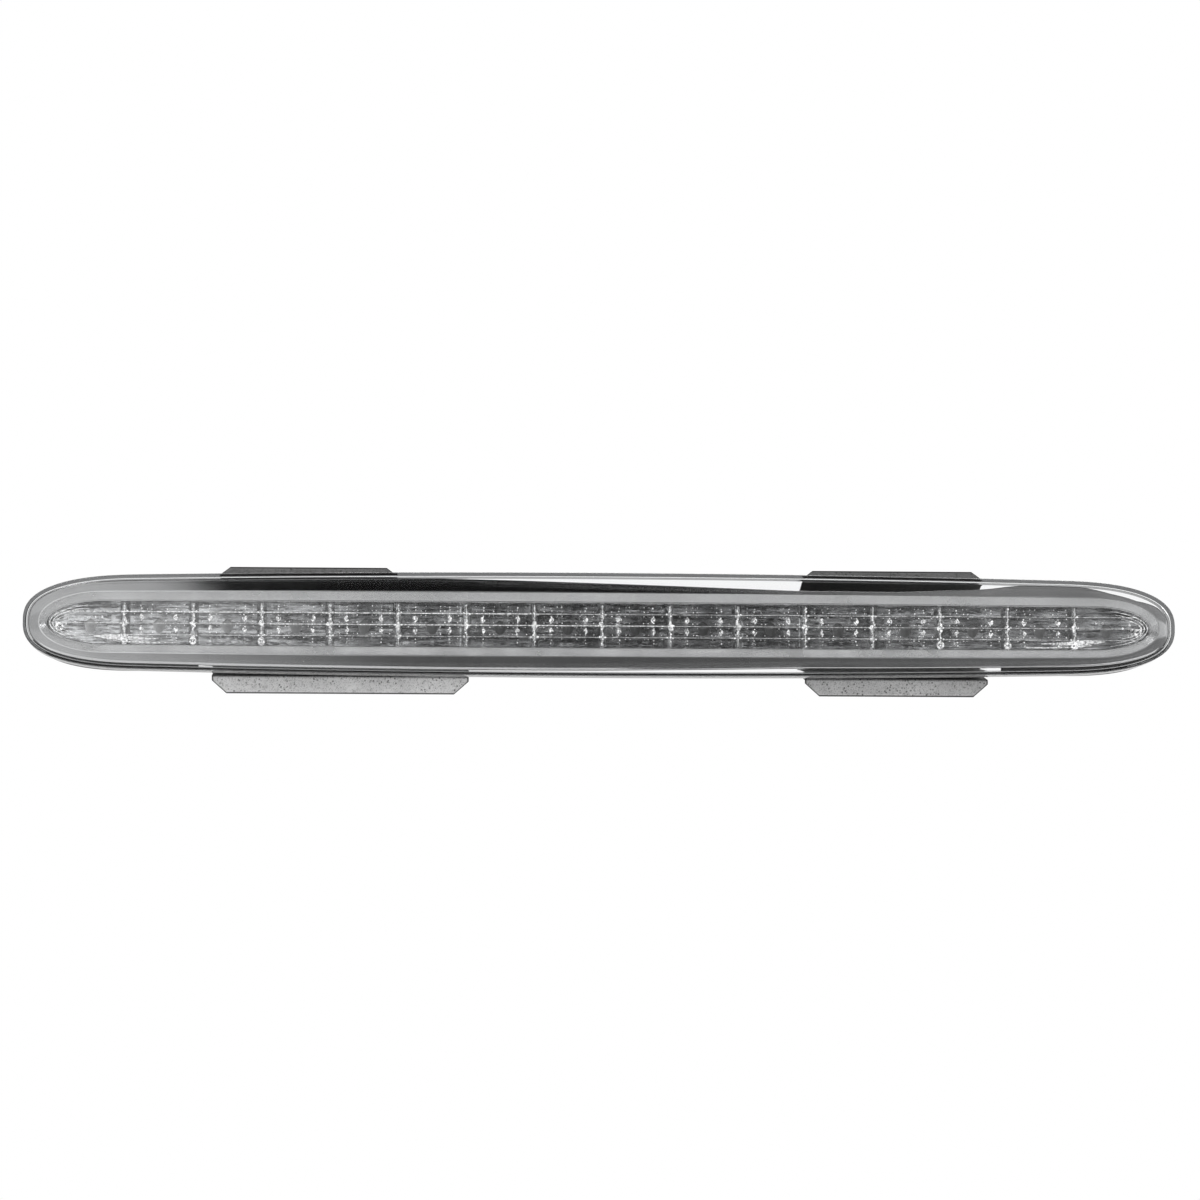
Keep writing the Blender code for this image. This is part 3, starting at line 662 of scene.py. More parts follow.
def optic_height(x, z):
    """How far the optic's front stands in front of the root plane."""
    row = (z / FLUTE_PITCH) % 1.0
    height = np.sin(math.pi * row) * (OPTIC_ROOT - OPTIC_CREST)
    near = np.min(np.abs(x[..., None] - dividers()), axis=-1)
    height = np.maximum(height, rounded(near, 0.7, 0.55))
    swoosh = np.clip((np.abs(x) - END_CELL_X) / 8.0, 0, 1) * (z < -FLUTE_PITCH)
    ramp = 0.15 + 0.30 * np.clip((-z - FLUTE_PITCH) / 2.6, 0, 1)
    return height * (1 - swoosh) + ramp * swoosh


def optic_stations():
    """X of the grid's columns: even steps, closing up towards both tips."""
    straight = np.linspace(-WINDOW.shoulder, WINDOW.shoulder, 1500)
    angle = np.linspace(0, 0.5 * math.pi, 60)[1:]
    reach = WINDOW.half_length - 0.3 - WINDOW.shoulder
    tip = WINDOW.shoulder + reach * np.sin(angle)
    return np.concatenate([-tip[::-1], straight, tip])


def window_edge(x, inset=0.3):
    reach = WINDOW.half_length - inset - WINDOW.shoulder
    over = np.clip((np.abs(x) - WINDOW.shoulder) / reach, 0, 1)
    return (WINDOW.half_height - inset - WINDOW.bow * x * x) * np.sqrt(1 - over**2) + 0.02


def ribbed_optic():
    """Inner lens: shallow flutes along the lamp, with a ridge between cells."""
    x = optic_stations()
    share = np.linspace(-1, 1, OPTIC_ROWS + 1)
    columns, rows = np.meshgrid(x, share, indexing="ij")
    z = rows * window_edge(columns)
    front = grid(columns, OPTIC_ROOT - optic_height(columns, z), z)
    back = grid(columns, OPTIC_PLATE_REAR, z)
    solid = sheet_solid(front, back)
    return piece("ribbed_optic", solid, "optic", ["optic_insert"], sharp=50)


def half_bead(at, radius, squash, steps):
    """Small dome standing on the optic at (x, z), seated just inside its surface."""
    seat = OPTIC_CREST + 0.10
    angles = np.radians((0, 30, 60, 82))
    profile = [(radius, seat + 0.5)]
    profile += [(radius * math.cos(a), seat - radius * squash * math.sin(a)) for a in angles]
    return turned(profile, steps, at)


def ring_bead(at, radius, thick, steps, arc=2 * math.pi, start=0.0):
    """Raised ring, or part of one, standing on the optic."""
    turn = start + np.linspace(0, arc, steps, endpoint=arc < 6.28)
    section = [(-thick, 0.45), (-thick, 0.0), (-0.5 * thick, -thick), (0.5 * thick, -thick)]
    section += [(thick, 0.0), (thick, 0.45)]
    loops = []
    for angle in turn:
        reach = [(radius + r, OPTIC_CREST + 0.10 + y) for r, y in section]
        cos, sin = math.cos(angle), math.sin(angle)
        loops.append(np.array([(at[0] + r * cos, y, at[1] + r * sin) for r, y in reach]))
    return skin(loops, closed=arc >= 6.28)


def bar_along(x_from, x_to, z, half, rise):
    """Thin round-topped bar along X on the optic, following its window."""
    stations = np.linspace(x_from, x_to, max(3, int(abs(x_to - x_from) / 2.0)))
    section = ((0.3, half), (-0.05, half), (-rise, 0.4 * half))
    loops = []
    for x in stations:
        points = [(OPTIC_ROOT + y, z + dz) for y, dz in section]
        points += [(OPTIC_ROOT + y, z - dz) for y, dz in section[::-1]]
        loops.append(np.array([(x, y, pz) for y, pz in points]))
    return skin(loops)


def divider_relief(x, chance):
    """Ragged column between two cells: short bars, beads and crossing ribs."""
    solids = []
    for z in np.arange(-7.2, 7.4, 0.62):
        wide = 0.08 + 0.34 * chance.random() ** 2 + 0.34 * math.exp(-((z / 1.6) ** 2))
        tall = 0.30 + 0.25 * chance.random()
        side = x + (0.7 + 0.9 * math.exp(-((z / 1.8) ** 2))) * (chance.random() - 0.5)
        at_z = z + 0.3 * (chance.random() - 0.5)
        solids.append(half_bead((side, at_z), wide, tall / wide * 0.8, 8))
    for z in (-FLUTE_PITCH, 0.0, FLUTE_PITCH):
        for side in (-1, 1):
            at = (x + side * (0.9 + 0.5 * chance.random()), z + 0.4 * (chance.random() - 0.5))
            solids.append(half_bead(at, 0.28 + 0.12 * chance.random(), 0.8, 8))
    low, high = (x - 0.07, OPTIC_CREST - 0.12, -7.6), (x + 0.07, OPTIC_ROOT - 0.1, 7.6)
    solids.append(block(low, high))
    return solids


def cell_relief(centre, chance):
    """Beads in two columns, and rows of small dots between them."""
    solids = []
    for side in (-1, 1):
        for z, radius in ((2.15, 1.0), (-2.15, 0.8)):
            at = (centre + side * 6.4, z)
            solids.append(ring_bead(at, radius * 0.75, 0.22, 14, 4.4, 6.28 * chance.random()))
            solids.append(half_bead((at[0] + 0.2 * side, z), 0.45 * radius, 0.7, 8))
        for z in (6.5, 5.5, 3.3, 1.1, -1.1, -3.3, -5.4, -6.6):
            jitter = 0.5 * (chance.random(2) - 0.5)
            at = (centre + side * 6.4 + jitter[0], z + 0.4 * jitter[1])
            solids.append(half_bead(at, 0.17 + 0.14 * chance.random(), 0.7, 6))
        for z in (6.9, 5.2, 3.5, 0.9, -0.8, -3.4, -5.0):
            for reach in (2.7, 4.3, 9.3):
                if chance.random() < 0.75:
                    at = (centre + side * reach + 0.5 * chance.random(), z)
                    solids.append(half_bead(at, 0.10 + 0.12 * chance.random(), 0.7, 6))
    return solids


def strip(points, half_widths):
    """Thin strip on the optic through (x, z) points, with its own half width at each."""
    along = directions(points)
    across = np.column_stack([-along[:, 1], along[:, 0]]) * half_widths[:, None]
    front, back = OPTIC_CREST - 0.16, OPTIC_CREST + 0.3
    section = [(1.0, back), (0.9, front + 0.1), (0.3, front)]
    section += [(-share, y) for share, y in section[::-1]]
    loops = []
    for here, reach in zip(points, across):
        edges = [(here + reach * share, y) for share, y in section]
        loops.append(np.array([(x, y, z) for (x, z), y in edges]))
    return skin(loops)


def end_relief(side):
    """Arcs that follow the window's tip, and a bright leaf along the bottom row."""
    solids = []
    for inset, reach, half in ((1.0, 0.80, 0.16), (2.1, 0.72, 0.13), (3.3, 0.60, 0.20)):
        angle = np.linspace(-reach, reach, 30) * 0.5 * math.pi
        shape = WINDOW._replace(
            half_length=WINDOW.half_length - inset, half_height=WINDOW.half_height - 0.5 - inset
        )
        x = shape.shoulder + (shape.half_length - shape.shoulder) * np.cos(angle)
        z = shape.half_height * np.sin(angle)
        taper = half * (1 - 0.7 * np.abs(angle) / angle.max())
        solids.append(strip(np.column_stack([side * x, z]), taper))
    share = np.linspace(0, 1, 24)
    leaf = np.column_stack([side * (165.0 + 24.0 * share), -5.75 + 0.9 * share**2])
    solids.append(strip(leaf, 0.12 + 0.75 * np.sin(math.pi * share**1.6) ** 1.2))
    lower = np.column_stack([side * (158.0 + 26.0 * share), -7.25 + 0.9 * share**3])
    solids.append(strip(lower, 0.08 + 0.14 * np.sin(math.pi * share)))
    return solids


# Bars along X between the flutes: (z, start of the thick stretch, its end).
# A stretch of 1 mm or less is left out.
BRIGHT_BARS = ((-FLUTE_PITCH, 150.0, 151.0), (0.0, -125.0, 26.0), (FLUTE_PITCH, -215.0, -28.0))
BAR_HALF_WIDTHS = (0.05, 0.17, 0.05)
SHORTEST_BAR = 1.0


def optic_relief():
    """Ridges, beads and rings moulded on the front of the optic."""
    chance = np.random.default_rng(4)
    solids = []
    half_height = WINDOW.half_height - 0.45
    for z, bright_from, bright_to in BRIGHT_BARS:
        reach = WINDOW.shoulder + 19.5 * math.sqrt(1 - (z / half_height) ** 2)
        stops = (-reach, max(bright_from, -reach), bright_to, reach)
        for low, high, half in zip(stops, stops[1:], BAR_HALF_WIDTHS):
            if high - low > SHORTEST_BAR:
                solids.append(bar_along(low, high, z, half, 0.50))
    for x in dividers():
        solids += divider_relief(x, chance)
    for centre in cell_centres()[1:-1]:
        solids += cell_relief(centre, chance)
    for x in dividers()[[0, 1, 2, -3, -2, -1]]:
        solids.append(ring_bead((x, RING_Z), 1.05, 0.34, 24))
    for side in (-1, 1):
        solids += end_relief(side)
        solids.append(ring_bead((side * 201.8, -1.5), 1.2, 0.30, 24))
        for reach, z in ((186.0, 2.15), (188.5, 2.15), (198.6, 1.4), (196.0, 0.2), (199.4, -0.4)):
            solids.append(half_bead((side * reach, z), 0.42, 0.7, 8))
    return piece("optic_relief", joined(*solids), "ridge", sharp=50)


# ---- reflector and LEDs

TRAY_FRONT, TRAY_FLOOR, TRAY_REAR = -1.5, 0.6, 7.7
TRAY_INSET, TRAY_WALL = 2.2, 1.1
LED_HOLE_R = 2.46


def tray_height(x, z, edge):
    """How far the tray stands in front of its floor: ridges between cells and a rim."""
    full = TRAY_FLOOR - TRAY_FRONT
    near = np.min(np.abs(x[..., None] - dividers()), axis=-1)
    slope = np.clip((1.75 - near) / 1.2, 0, 1)
    ridge = full * np.sin(0.5 * math.pi * slope)
    wall = full * np.sin(0.5 * math.pi * np.clip((np.abs(z) - edge + 1.6) / 1.0, 0, 1))
    return np.maximum(ridge, wall)


def reflector():
    """Tray of sixteen flat cells, with a hole for each LED and a skirt behind."""
    reach = TUB.half_length - TRAY_INSET
    x = np.linspace(-reach, reach, 1000)
    share = np.linspace(-1, 1, 45)
    columns, rows = np.meshgrid(x, share, indexing="ij")
    over = np.clip((np.abs(columns) - TUB.shoulder) / (reach - TUB.shoulder), 0, 1)
    edge = (TUB.half_height - TRAY_INSET) * (1 - over**TUB.power).clip(0) ** (1 / TUB.power) + 0.02
    z = rows * edge
    front = grid(columns, TRAY_FLOOR - tray_height(columns, z, edge), z)
    back = grid(columns, TRAY_FLOOR + TRAY_WALL, z)
    floor_mesh = mesh_of("tray_floor", sheet_solid(front, back))
    floor_mesh = drilled(floor_mesh, cell_centres(), LED_HOLE_R, -3.0, 4.0)
    piece("reflector_cups", floor_mesh, "reflector", ["reflector_tray"])
    low, high, inner = TRAY_FLOOR + TRAY_WALL, TRAY_REAR, TRAY_INSET + TRAY_WALL
    corners = ((low, TRAY_INSET + 0.1), (high, TRAY_INSET + 0.1), (high, inner), (low, inner))
    skirt = [ring(TUB, y, inset) for y, inset in corners]
    piece("reflector_skirt", skin(skirt, closed=True), "reflector")


def led_mesh():
    """LED: chamfered square body and dome."""
    half, dome_r, front = 3.8, 2.4, 4.5
    turn = circle(32)
    square = half / np.maximum(np.abs(np.cos(turn)), np.abs(np.sin(turn)))
    square = np.minimum(square, half * 1.28)
    profile = [(square, 7.7), (square, front + 0.3), (square - 0.3, front)]
    for angle in np.radians((0, 15, 30, 45, 60, 75, 86)):
        profile.append((dome_r * math.cos(angle), front - 0.6 - dome_r * math.sin(angle)))
    rings = [round_ring(radius, y, turn) for radius, y in profile]
    return mesh_of("led", skin(rings))


def leds():
    mesh = led_mesh()
    for number, x in enumerate(cell_centres(), start=1):
        lens = piece(f"led_lens_{number:02d}", mesh, "led")
        lens.location.x = x * MM
        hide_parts(f"led_{number:02d}")


# ---- housing

HOUSING_BACK, FLANGE_FRONT, FLANGE_REAR = 26.0, -4.3, -2.3
TUB_WALL, TUB_STRAIGHT, TUB_DRAFT, BACK_ROUND = 1.6, 5.3, 0.35, 1.4
TAPERED = TUB._replace(half_length=TUB.half_length - 9.0)
TUB_RIBS_X = (-147.6, -36.0, -18.0, 18.0, 36.0, 148.4)
TUB_RIB_HALF = 0.7
TUB_RIB_SECTION = ((-2.8, 11.9), (-2.8, 14.5), (1.2, 14.5), (20.0, 11.9))
BOSSES_X = (-185.0, -164.0, -22.0, 48.0, 62.0, 160.0, 180.0)
BOSS_PROFILE = ((2.4, -0.5), (2.4, 0.12), (2.2, 0.2), (1.7, 0.2), (1.6, -0.5))
BACK_RIBS_X = ((-196.0, -150.0), (-46.0, -12.0), (12.0, 22.0), (36.0, 70.0), (148.0, 194.0))
BACK_RIB_Z = 8.4
PAD_FROM_X = 150.3
PAD_FRONT, PAD_REAR = -1.95, -0.02


def housing_outside():
    """Rings of the moulding from front to back: flange, tub and rounded back."""
    flange = ((0.8, FLANGE_FRONT), (0.5, FLANGE_FRONT + 0.3))
    flange += ((0.5, FLANGE_REAR - 0.3), (0.8, FLANGE_REAR))
    rings = [level(frame_edge(inset), y) for inset, y in flange]
    neck = ((0.0, -0.2), (0.15, -0.15), (0.5, 0.0), (TUB_STRAIGHT, 0.0))
    rings += [ring(TUB, FLANGE_REAR + behind, inset) for behind, inset in neck]
    start, end = FLANGE_REAR + TUB_STRAIGHT, HOUSING_BACK - BACK_ROUND
    for share in (0.25, 0.5, 0.75, 1.0):
        half_length = between(TUB.half_length, TAPERED.half_length, share)
        step = TUB._replace(half_length=half_length)
        rings.append(ring(step, between(start, end, share), TUB_DRAFT * share))
    for angle in np.radians((30, 60, 90)):
        inset = TUB_DRAFT + 1.05 * (1 - math.cos(angle))
        rings.append(ring(TAPERED, end + BACK_ROUND * math.sin(angle), inset))
    return rings


def housing_shell():
    """Tub behind the lamp, open in front, with ribs along its top and bottom."""
    cavity = [ring(TAPERED, HOUSING_BACK - TUB_WALL, 2.0), ring(TUB, 8.0, TUB_WALL)]
    cavity.append(ring(TUB, FLANGE_FRONT, TUB_WALL))
    solids = [skin([*cavity, *housing_outside()], rungs=True)]
    for x in TUB_RIBS_X:
        for side in (1, -1):
            ends = (x - TUB_RIB_HALF, x + TUB_RIB_HALF)
            rib = [np.array([(end, y, side * z) for y, z in TUB_RIB_SECTION]) for end in ends]
            solids.append(skin(rib))
    nodes = ["rear_housing"]
    return piece("housing_shell", joined(*solids), "housing", nodes, sharp=40)


def back_details():
    """Moulded bosses and ribs that stand on the housing's back."""
    profile = [(radius, HOUSING_BACK + rise) for radius, rise in BOSS_PROFILE]
    solids = [turned(profile, 32, (x, 0)) for x in BOSSES_X]
    for x_from, x_to in BACK_RIBS_X:
        for z in (-BACK_RIB_Z, BACK_RIB_Z):
            low = (x_from, HOUSING_BACK - 0.5, z - 0.5)
            solids.append(block(low, (x_to, HOUSING_BACK + 0.25, z + 0.5)))
    return piece("housing_back_ribs", joined(*solids), "housing", bevel=0.12)


def pads():
    """Soft end pads: hidden by the frame above, standing out a little below."""
    below, above = loop(PAD), frame_edge(0.8)
    outer = np.where(above[:, 1:] > 0, above, below)
    inside = loop(TUB, -0.45)
    drawn = outer * (1 - 0.2 / np.linalg.norm(outer, axis=1))[:, None]
    rings = [level(drawn, PAD_REAR), level(outer, PAD_REAR - 0.18)]
    rings += [level(outer, PAD_FRONT + 0.2), level(drawn, PAD_FRONT)]
    rings += [level(inside, PAD_FRONT), level(inside, PAD_REAR)]
    for name, side in (("end_pad_left", -1), ("end_pad_right", 1)):
        x_from, x_to = sorted((side * PAD_FROM_X, -side * 250.0))
        whole = mesh_of(name, skin(rings, closed=True))
        end = cut(whole, block((x_from, -10, -30), (x_to, 10, 30)))
        piece(name + "_foam", end, "foam", [name])


# ---- clips

SHEET = 0.6
EDGE_MARGINS = np.array([0.0, 0.12, 0.3, 0.5, 0.8, 1.0, 1.2, 1.6, 2.2])
# Reach and fade of the painted shade along each leg's edges.
DARK_EDGE, DARK_EDGE_FADE = 0.62, 0.25
HINGE = (26.6, 14.3)
KNEE = (6.0, 18.6)
KNEE_R = 0.5
FOOT_TIP_Y = 7.0
# Each foot: height of its tip, and how far its corners are cut off along X and Z.
UPPER_FOOT, LOWER_FOOT = (22.8, 4.0, 3.1), (24.8, 5.5, 4.8)
# Each leg: its ends along X, which side of the lamp it is on, its foot and its finish; the
# finishes are lighter and darker copies of one zinc steel, painted light and shade.
LEGS = {
    "clip_left_upper_leg": (-143.0, -76.5, 1, UPPER_FOOT, "zinc_painted_shade"),
    "clip_left_lower_leg": (-145.6, -49.6, -1, LOWER_FOOT, "zinc_painted_light"),
    "clip_right_upper_leg": (76.2, 144.6, 1, UPPER_FOOT, "zinc_painted_shade"),
    "clip_right_lower_leg": (77.0, 146.3, -1, LOWER_FOOT, "zinc"),
}
BASES = {
    "clip_left_base": (-145.6, -49.6, (-126.0, -70.0)),
    "clip_right_base": (76.2, 146.3, (90.0, 132.0)),
}
BASE_FRONT, BASE_REAR, BASE_HALF, BEND_R = 26.3, 26.9, 13.7, 0.30
SCREW_FACE, CROSS_DEEP, CROSS_REACH, CROSS_HALF = 27.2, 0.95, 1.75, 0.42


def leg_line(tip_z):
    """Points (y, z) down the middle of a leg's sheet: flare, rounded knee, foot."""
    hinge, knee, tip = Vector(HINGE), Vector(KNEE), Vector((FOOT_TIP_Y, tip_z))
    arriving, leaving = (knee - hinge).normalized(), (tip - knee).normalized()
    turn = arriving.angle(leaving)
    setback = KNEE_R * math.tan(turn / 2)
    start, end = knee - arriving * setback, knee + leaving * setback
    points = [between(hinge, start, share) for share in np.linspace(0.018, 1, 24)]
    for share in np.linspace(0, 1, 9)[1:-1]:
        points.append(start * (1 - share) ** 2 + knee * 2 * share * (1 - share) + end * share**2)
    points += [between(end, tip, share) for share in np.linspace(0, 1, 28)]
    return np.array([tuple(p) for p in points])


def leg_relief(x, along, to_edge, flare_end, middle, half_width):
    """Pressed relief: a long bead on the flare and a fine line inside the foot's edge."""
    line = 0.07 * np.exp(-(((to_edge - 1.0) / 0.22) ** 2)) * (along > flare_end)
    across = np.maximum(np.abs(x - middle) - half_width + 12.0, 0.0)
    reach = np.hypot(across, along - 0.52 * flare_end)
    return line + rounded(reach, 2.6, 0.45)


def clip_leg(name, x_from, x_to, side, foot, finish):
    """One sprung leg, with closer columns near its cut edges."""
    tip_z, narrow_x, narrow_z = foot
    line = leg_line(tip_z)
    length, tangent = travelled(line), directions(line)
    normal = np.column_stack([-tangent[:, 1], tangent[:, 0]])
    drawn_in = narrow_x * np.clip((line[:, 1] - tip_z + narrow_z) / narrow_z, 0, 1)
    left, right = x_from + drawn_in, x_to - drawn_in
    share = np.linspace(0, 1, 90)
    middle = left[:, None] + 3.0 + (right - left - 6.0)[:, None] * share
    x = np.hstack([left[:, None] + EDGE_MARGINS, middle, right[:, None] - EDGE_MARGINS[::-1]])
    along = np.broadcast_to(length[:, None], x.shape)
    to_edge = np.minimum(np.minimum(x - left[:, None], right[:, None] - x), length[-1] - along)
    flare_end = length[np.argmin(np.linalg.norm(line - KNEE, axis=1))]
    relief = leg_relief(x, along, to_edge, flare_end, (x_from + x_to) / 2, (x_to - x_from) / 2)

    def skin_at(offset):
        y = line[:, 0][:, None] + normal[:, 0][:, None] * offset
        z = line[:, 1][:, None] + normal[:, 1][:, None] * offset
        return grid(x, y, side * z)

    outer, inner = skin_at(relief - SHEET / 2), skin_at(relief + SHEET / 2)
    mesh = mesh_of(name, sheet_solid(outer, inner), 50)
    # Painted shade along the sheet's edges, for the finish.
    mark_painted_edge_shade(mesh, np.concatenate([outer.reshape(-1, 3), inner.reshape(-1, 3)]), to_edge)
    piece(name + "_spring", mesh, finish, [name], name, bevel=0.1)


def mark_painted_edge_shade(mesh, points, to_edge):
    """Stores on the mesh how strongly the finish paints shade along the sheet's edges."""
    value = np.tile(np.clip((DARK_EDGE - to_edge) / DARK_EDGE_FADE, 0, 1).ravel(), 2)
    value_at = {tuple(np.round(p * MM, 6)): v for p, v in zip(points, value)}
    layer = mesh.attributes.new("edge_painted_shade", "FLOAT", "POINT")
    for vertex, item in zip(mesh.vertices, layer.data):
        item.value = value_at.get(tuple(np.round(vertex.co, 6)), 0.0)


def clip_base(name, x_from, x_to, screws):
    """Plate between the two bends, with a round bend along each edge and a rib round each hole."""
    x = np.linspace(x_from, x_to, 160)
    z = np.linspace(-BASE_HALF, BASE_HALF, 44)
    columns, rows = np.meshgrid(x, z, indexing="ij")
    height = np.zeros_like(columns)
    for at in screws:
        height = np.maximum(height, rounded(np.hypot(columns - at, rows) - 5.6, 0.8, 0.35))
    for level_z in (-9.0, 9.0):
        across = np.maximum(np.abs(columns - (x_from + x_to) / 2) - (x_to - x_from) / 2 + 8.0, 0)
        height = np.maximum(height, rounded(np.hypot(across, rows - level_z), 1.4, 0.45))
    front = grid(columns, BASE_FRONT + height, rows)
    back = grid(columns, BASE_REAR + height, rows)
    plate = drilled(mesh_of(name, sheet_solid(front, back)), screws, 1.8, 25.0, 28.5)
    # The plate takes the darker copy of the zinc steel: painted shade.
    piece(name + "_plate", plate, "plate_painted_shade", [name])
    bends = []
    turn = circle(20)
    for edge_z in (-HINGE[1], HINGE[1]):
        inward = -math.copysign(1, edge_z)
        y = HINGE[0] + BEND_R * np.cos(turn)
        rod_z = edge_z + BEND_R * np.sin(turn)
        rod_z = np.where(rod_z * -inward < abs(edge_z), rod_z + BEND_R * inward, rod_z)
        bends.append(skin([grid(end, y, rod_z) for end in (x_from, x_to)]))
    piece(name + "_bends", joined(*bends), "plate_painted_shade")


def screw_mesh():
    """Pan-head screw with a cross recess, its axis at X = 0."""
    head = ((3.05, 0.0), (3.2, 0.2), (3.2, 0.8), (3.0, 1.35), (2.5, 1.8), (1.8, 2.05), (1.0, 2.1))
    head = [(radius, SCREW_FACE + rise) for radius, rise in head]
    thread = [(0.5, 19.7), (1.3, 20.7)]
    for turn in range(8):
        start = 20.9 + 0.7 * turn
        thread += [(1.2, start), (1.5, start + 0.35)]
    screw = mesh_of("clip_screw", turned(thread + [(1.3, SCREW_FACE - 0.3)] + head, 36))
    floor_y, top_y = SCREW_FACE + CROSS_DEEP, SCREW_FACE + 3.0
    slots = []
    for x, z in ((CROSS_REACH, CROSS_HALF), (CROSS_HALF, CROSS_REACH)):
        slots.append(block((-x, floor_y, -z), (x, top_y, z)))
    return cut(screw, *slots)


def clips():
    for name, leg in LEGS.items():
        clip_leg(name, *leg)
    mesh = screw_mesh()
    number = 0
    for name, (x_from, x_to, screws) in BASES.items():
        clip_base(name, x_from, x_to, screws)
        for at in screws:
            number += 1
            screw = piece(f"base_screw_{number}", mesh, "plate_painted_shade")
            screw.location.x = at * MM
            screw.rotation_euler.y = math.radians(37 * number)
            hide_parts(f"clip_screw_{number}")


# ---- connector and vent


SOCKET_HALF_X, SOCKET_HALF_Z = 7.7, 5.2
PINS_X = (-2.5, 2.5)
VENT_X, VENT_STEPS, VENT_SLOT = 29.0, 72, 0.45
# The vent cap from its foot to its middle: (radius, y, whether its slots cut in there).
VENT_PROFILE = (
    (2.6, 22.0, 0), (2.6, 26.3, 0), (5.0, 26.35, 1), (5.2, 26.6, 1), (5.2, 28.7, 1),
    (5.15, 28.9, 0), (4.9, 29.4, 0), (4.4, 29.75, 0), (3.4, 29.95, 0), (2.0, 29.98, 0),
    (1.9, 29.75, 0), (0.6, 29.7, 0),
)


def socket():
    """Two-way socket: shell with a keyed mouth, a groove in each side and a latch ramp."""
    half_x, half_z = SOCKET_HALF_X, SOCKET_HALF_Z
    shell = mesh_of("socket", block((-half_x, 9.9, -half_z), (half_x, 34.0, half_z)))
    mouth = block((-6.2, 23.0, -3.7), (6.2, 35.0, 3.7))
    keys = [block((x - 0.6, 24.0, -4.4), (x + 0.6, 35.0, -3.5)) for x in (-3.6, 3.6)]
    pins = [block((x - 0.8, 9.0, -0.8), (x + 0.8, 24.0, 0.8)) for x in PINS_X]
    grooves = [block((x - 0.35, 27.5, -3.0), (x + 0.35, 32.5, 3.0)) for x in (-half_x, half_x)]
    shell, nodes = cut(shell, mouth, *keys, *pins, *grooves), ["connector_socket"]
    piece("socket_shell", shell, "socket", nodes, bevel=0.3)
    latch = np.array([(29.0, 5.0), (31.2, 5.0), (31.0, 6.2), (30.4, 6.2)])
    ramp = skin([grid(x, *latch.T) for x in (-1.6, 1.6)])
    piece("socket_latch", ramp, "socket", bevel=0.12)
    for number, x in enumerate(PINS_X, start=1):
        rings = []
        for half, y in ((0.5, 9.9), (0.5, 27.9), (0.22, 29.0)):
            corners = ((-half, -half), (half, -half), (half, half), (-half, half))
            rings.append(np.array([(x + a, y, b) for a, b in corners]))
        nodes = [f"terminal_{number}"]
        piece(f"pin_{number}", skin(rings), "tinned", nodes, bevel=0.08, segments=3)


def vent():
    """Breather cap with slots round its side."""
    turn, rings = circle(VENT_STEPS), []
    slot = np.where(np.arange(VENT_STEPS) % 6 < 2, VENT_SLOT, 0.0)
    for radius, y, slotted in VENT_PROFILE:
        rings.append(round_ring(radius - slot * slotted, y, turn, (VENT_X, 0.0)))
    piece("vent_cap", skin(rings), "vent", ["breather_vent"])


# ---- stage

FLOOR_R, FLOOR_Z = 0.9, -0.50
PANEL_Y, PANEL_REACH, PANEL_LOW, PANEL_HIGH = -0.85, 3.0, -0.48, 2.2
# Brightness of the reflected panel along X, at three heights (metres).
PANEL_X = (-1.4, -0.50, -0.34, -0.206, -0.180, -0.08, 0.05, 0.14, 0.25, 0.45, 1.4)
PANEL_TOP = (0.55, 0.54, 0.52, 0.46, 0.012, 0.008, 0.008, 0.015, 0.20, 0.25, 0.30)
PANEL_MIDDLE = (0.42, 0.45, 0.95, 0.90, 0.85, 0.30, 0.12, 0.16, 0.30, 0.42, 0.80)
PANEL_BOTTOM = (0.52, 0.51, 0.50, 0.40, 0.30, 0.11, 0.09, 0.10, 0.12, 0.18, 0.25)


def eased(value, low, high):
    t = np.clip((value - low) / (high - low), 0, 1)
    return t * t * (3 - 2 * t)


def screen_tone(x, z):
    """Brightness of the reflected panel in front of the lamp, at (x, z) in metres."""
    slant = x + 0.05 * (z - 0.5)
    top = np.interp(slant, PANEL_X, PANEL_TOP)
    top = top + (0.14 - top) * eased(z, 0.85, 1.05)
    middle = np.interp(x, PANEL_X, PANEL_MIDDLE)
    bottom = np.interp(x, PANEL_X, PANEL_BOTTOM)
    tone = bottom + (middle - bottom) * eased(z, -0.10, -0.03)
    return tone + (top - tone) * eased(z, 0.25, 0.31)


def emitter(name, attribute):
    """A material that shines as brightly as a colour attribute says."""
    material = bpy.data.materials.new(name)
    material.use_nodes = True
    tree = material.node_tree
    tree.nodes.clear()
    kinds = ("ShaderNodeAttribute", "ShaderNodeEmission", "ShaderNodeOutputMaterial")
    source, emission, output = [tree.nodes.new(kind) for kind in kinds]
    source.attribute_name = attribute
    tree.links.new(source.outputs["Color"], emission.inputs["Color"])
    tree.links.new(emission.outputs[0], output.inputs["Surface"])
    return material


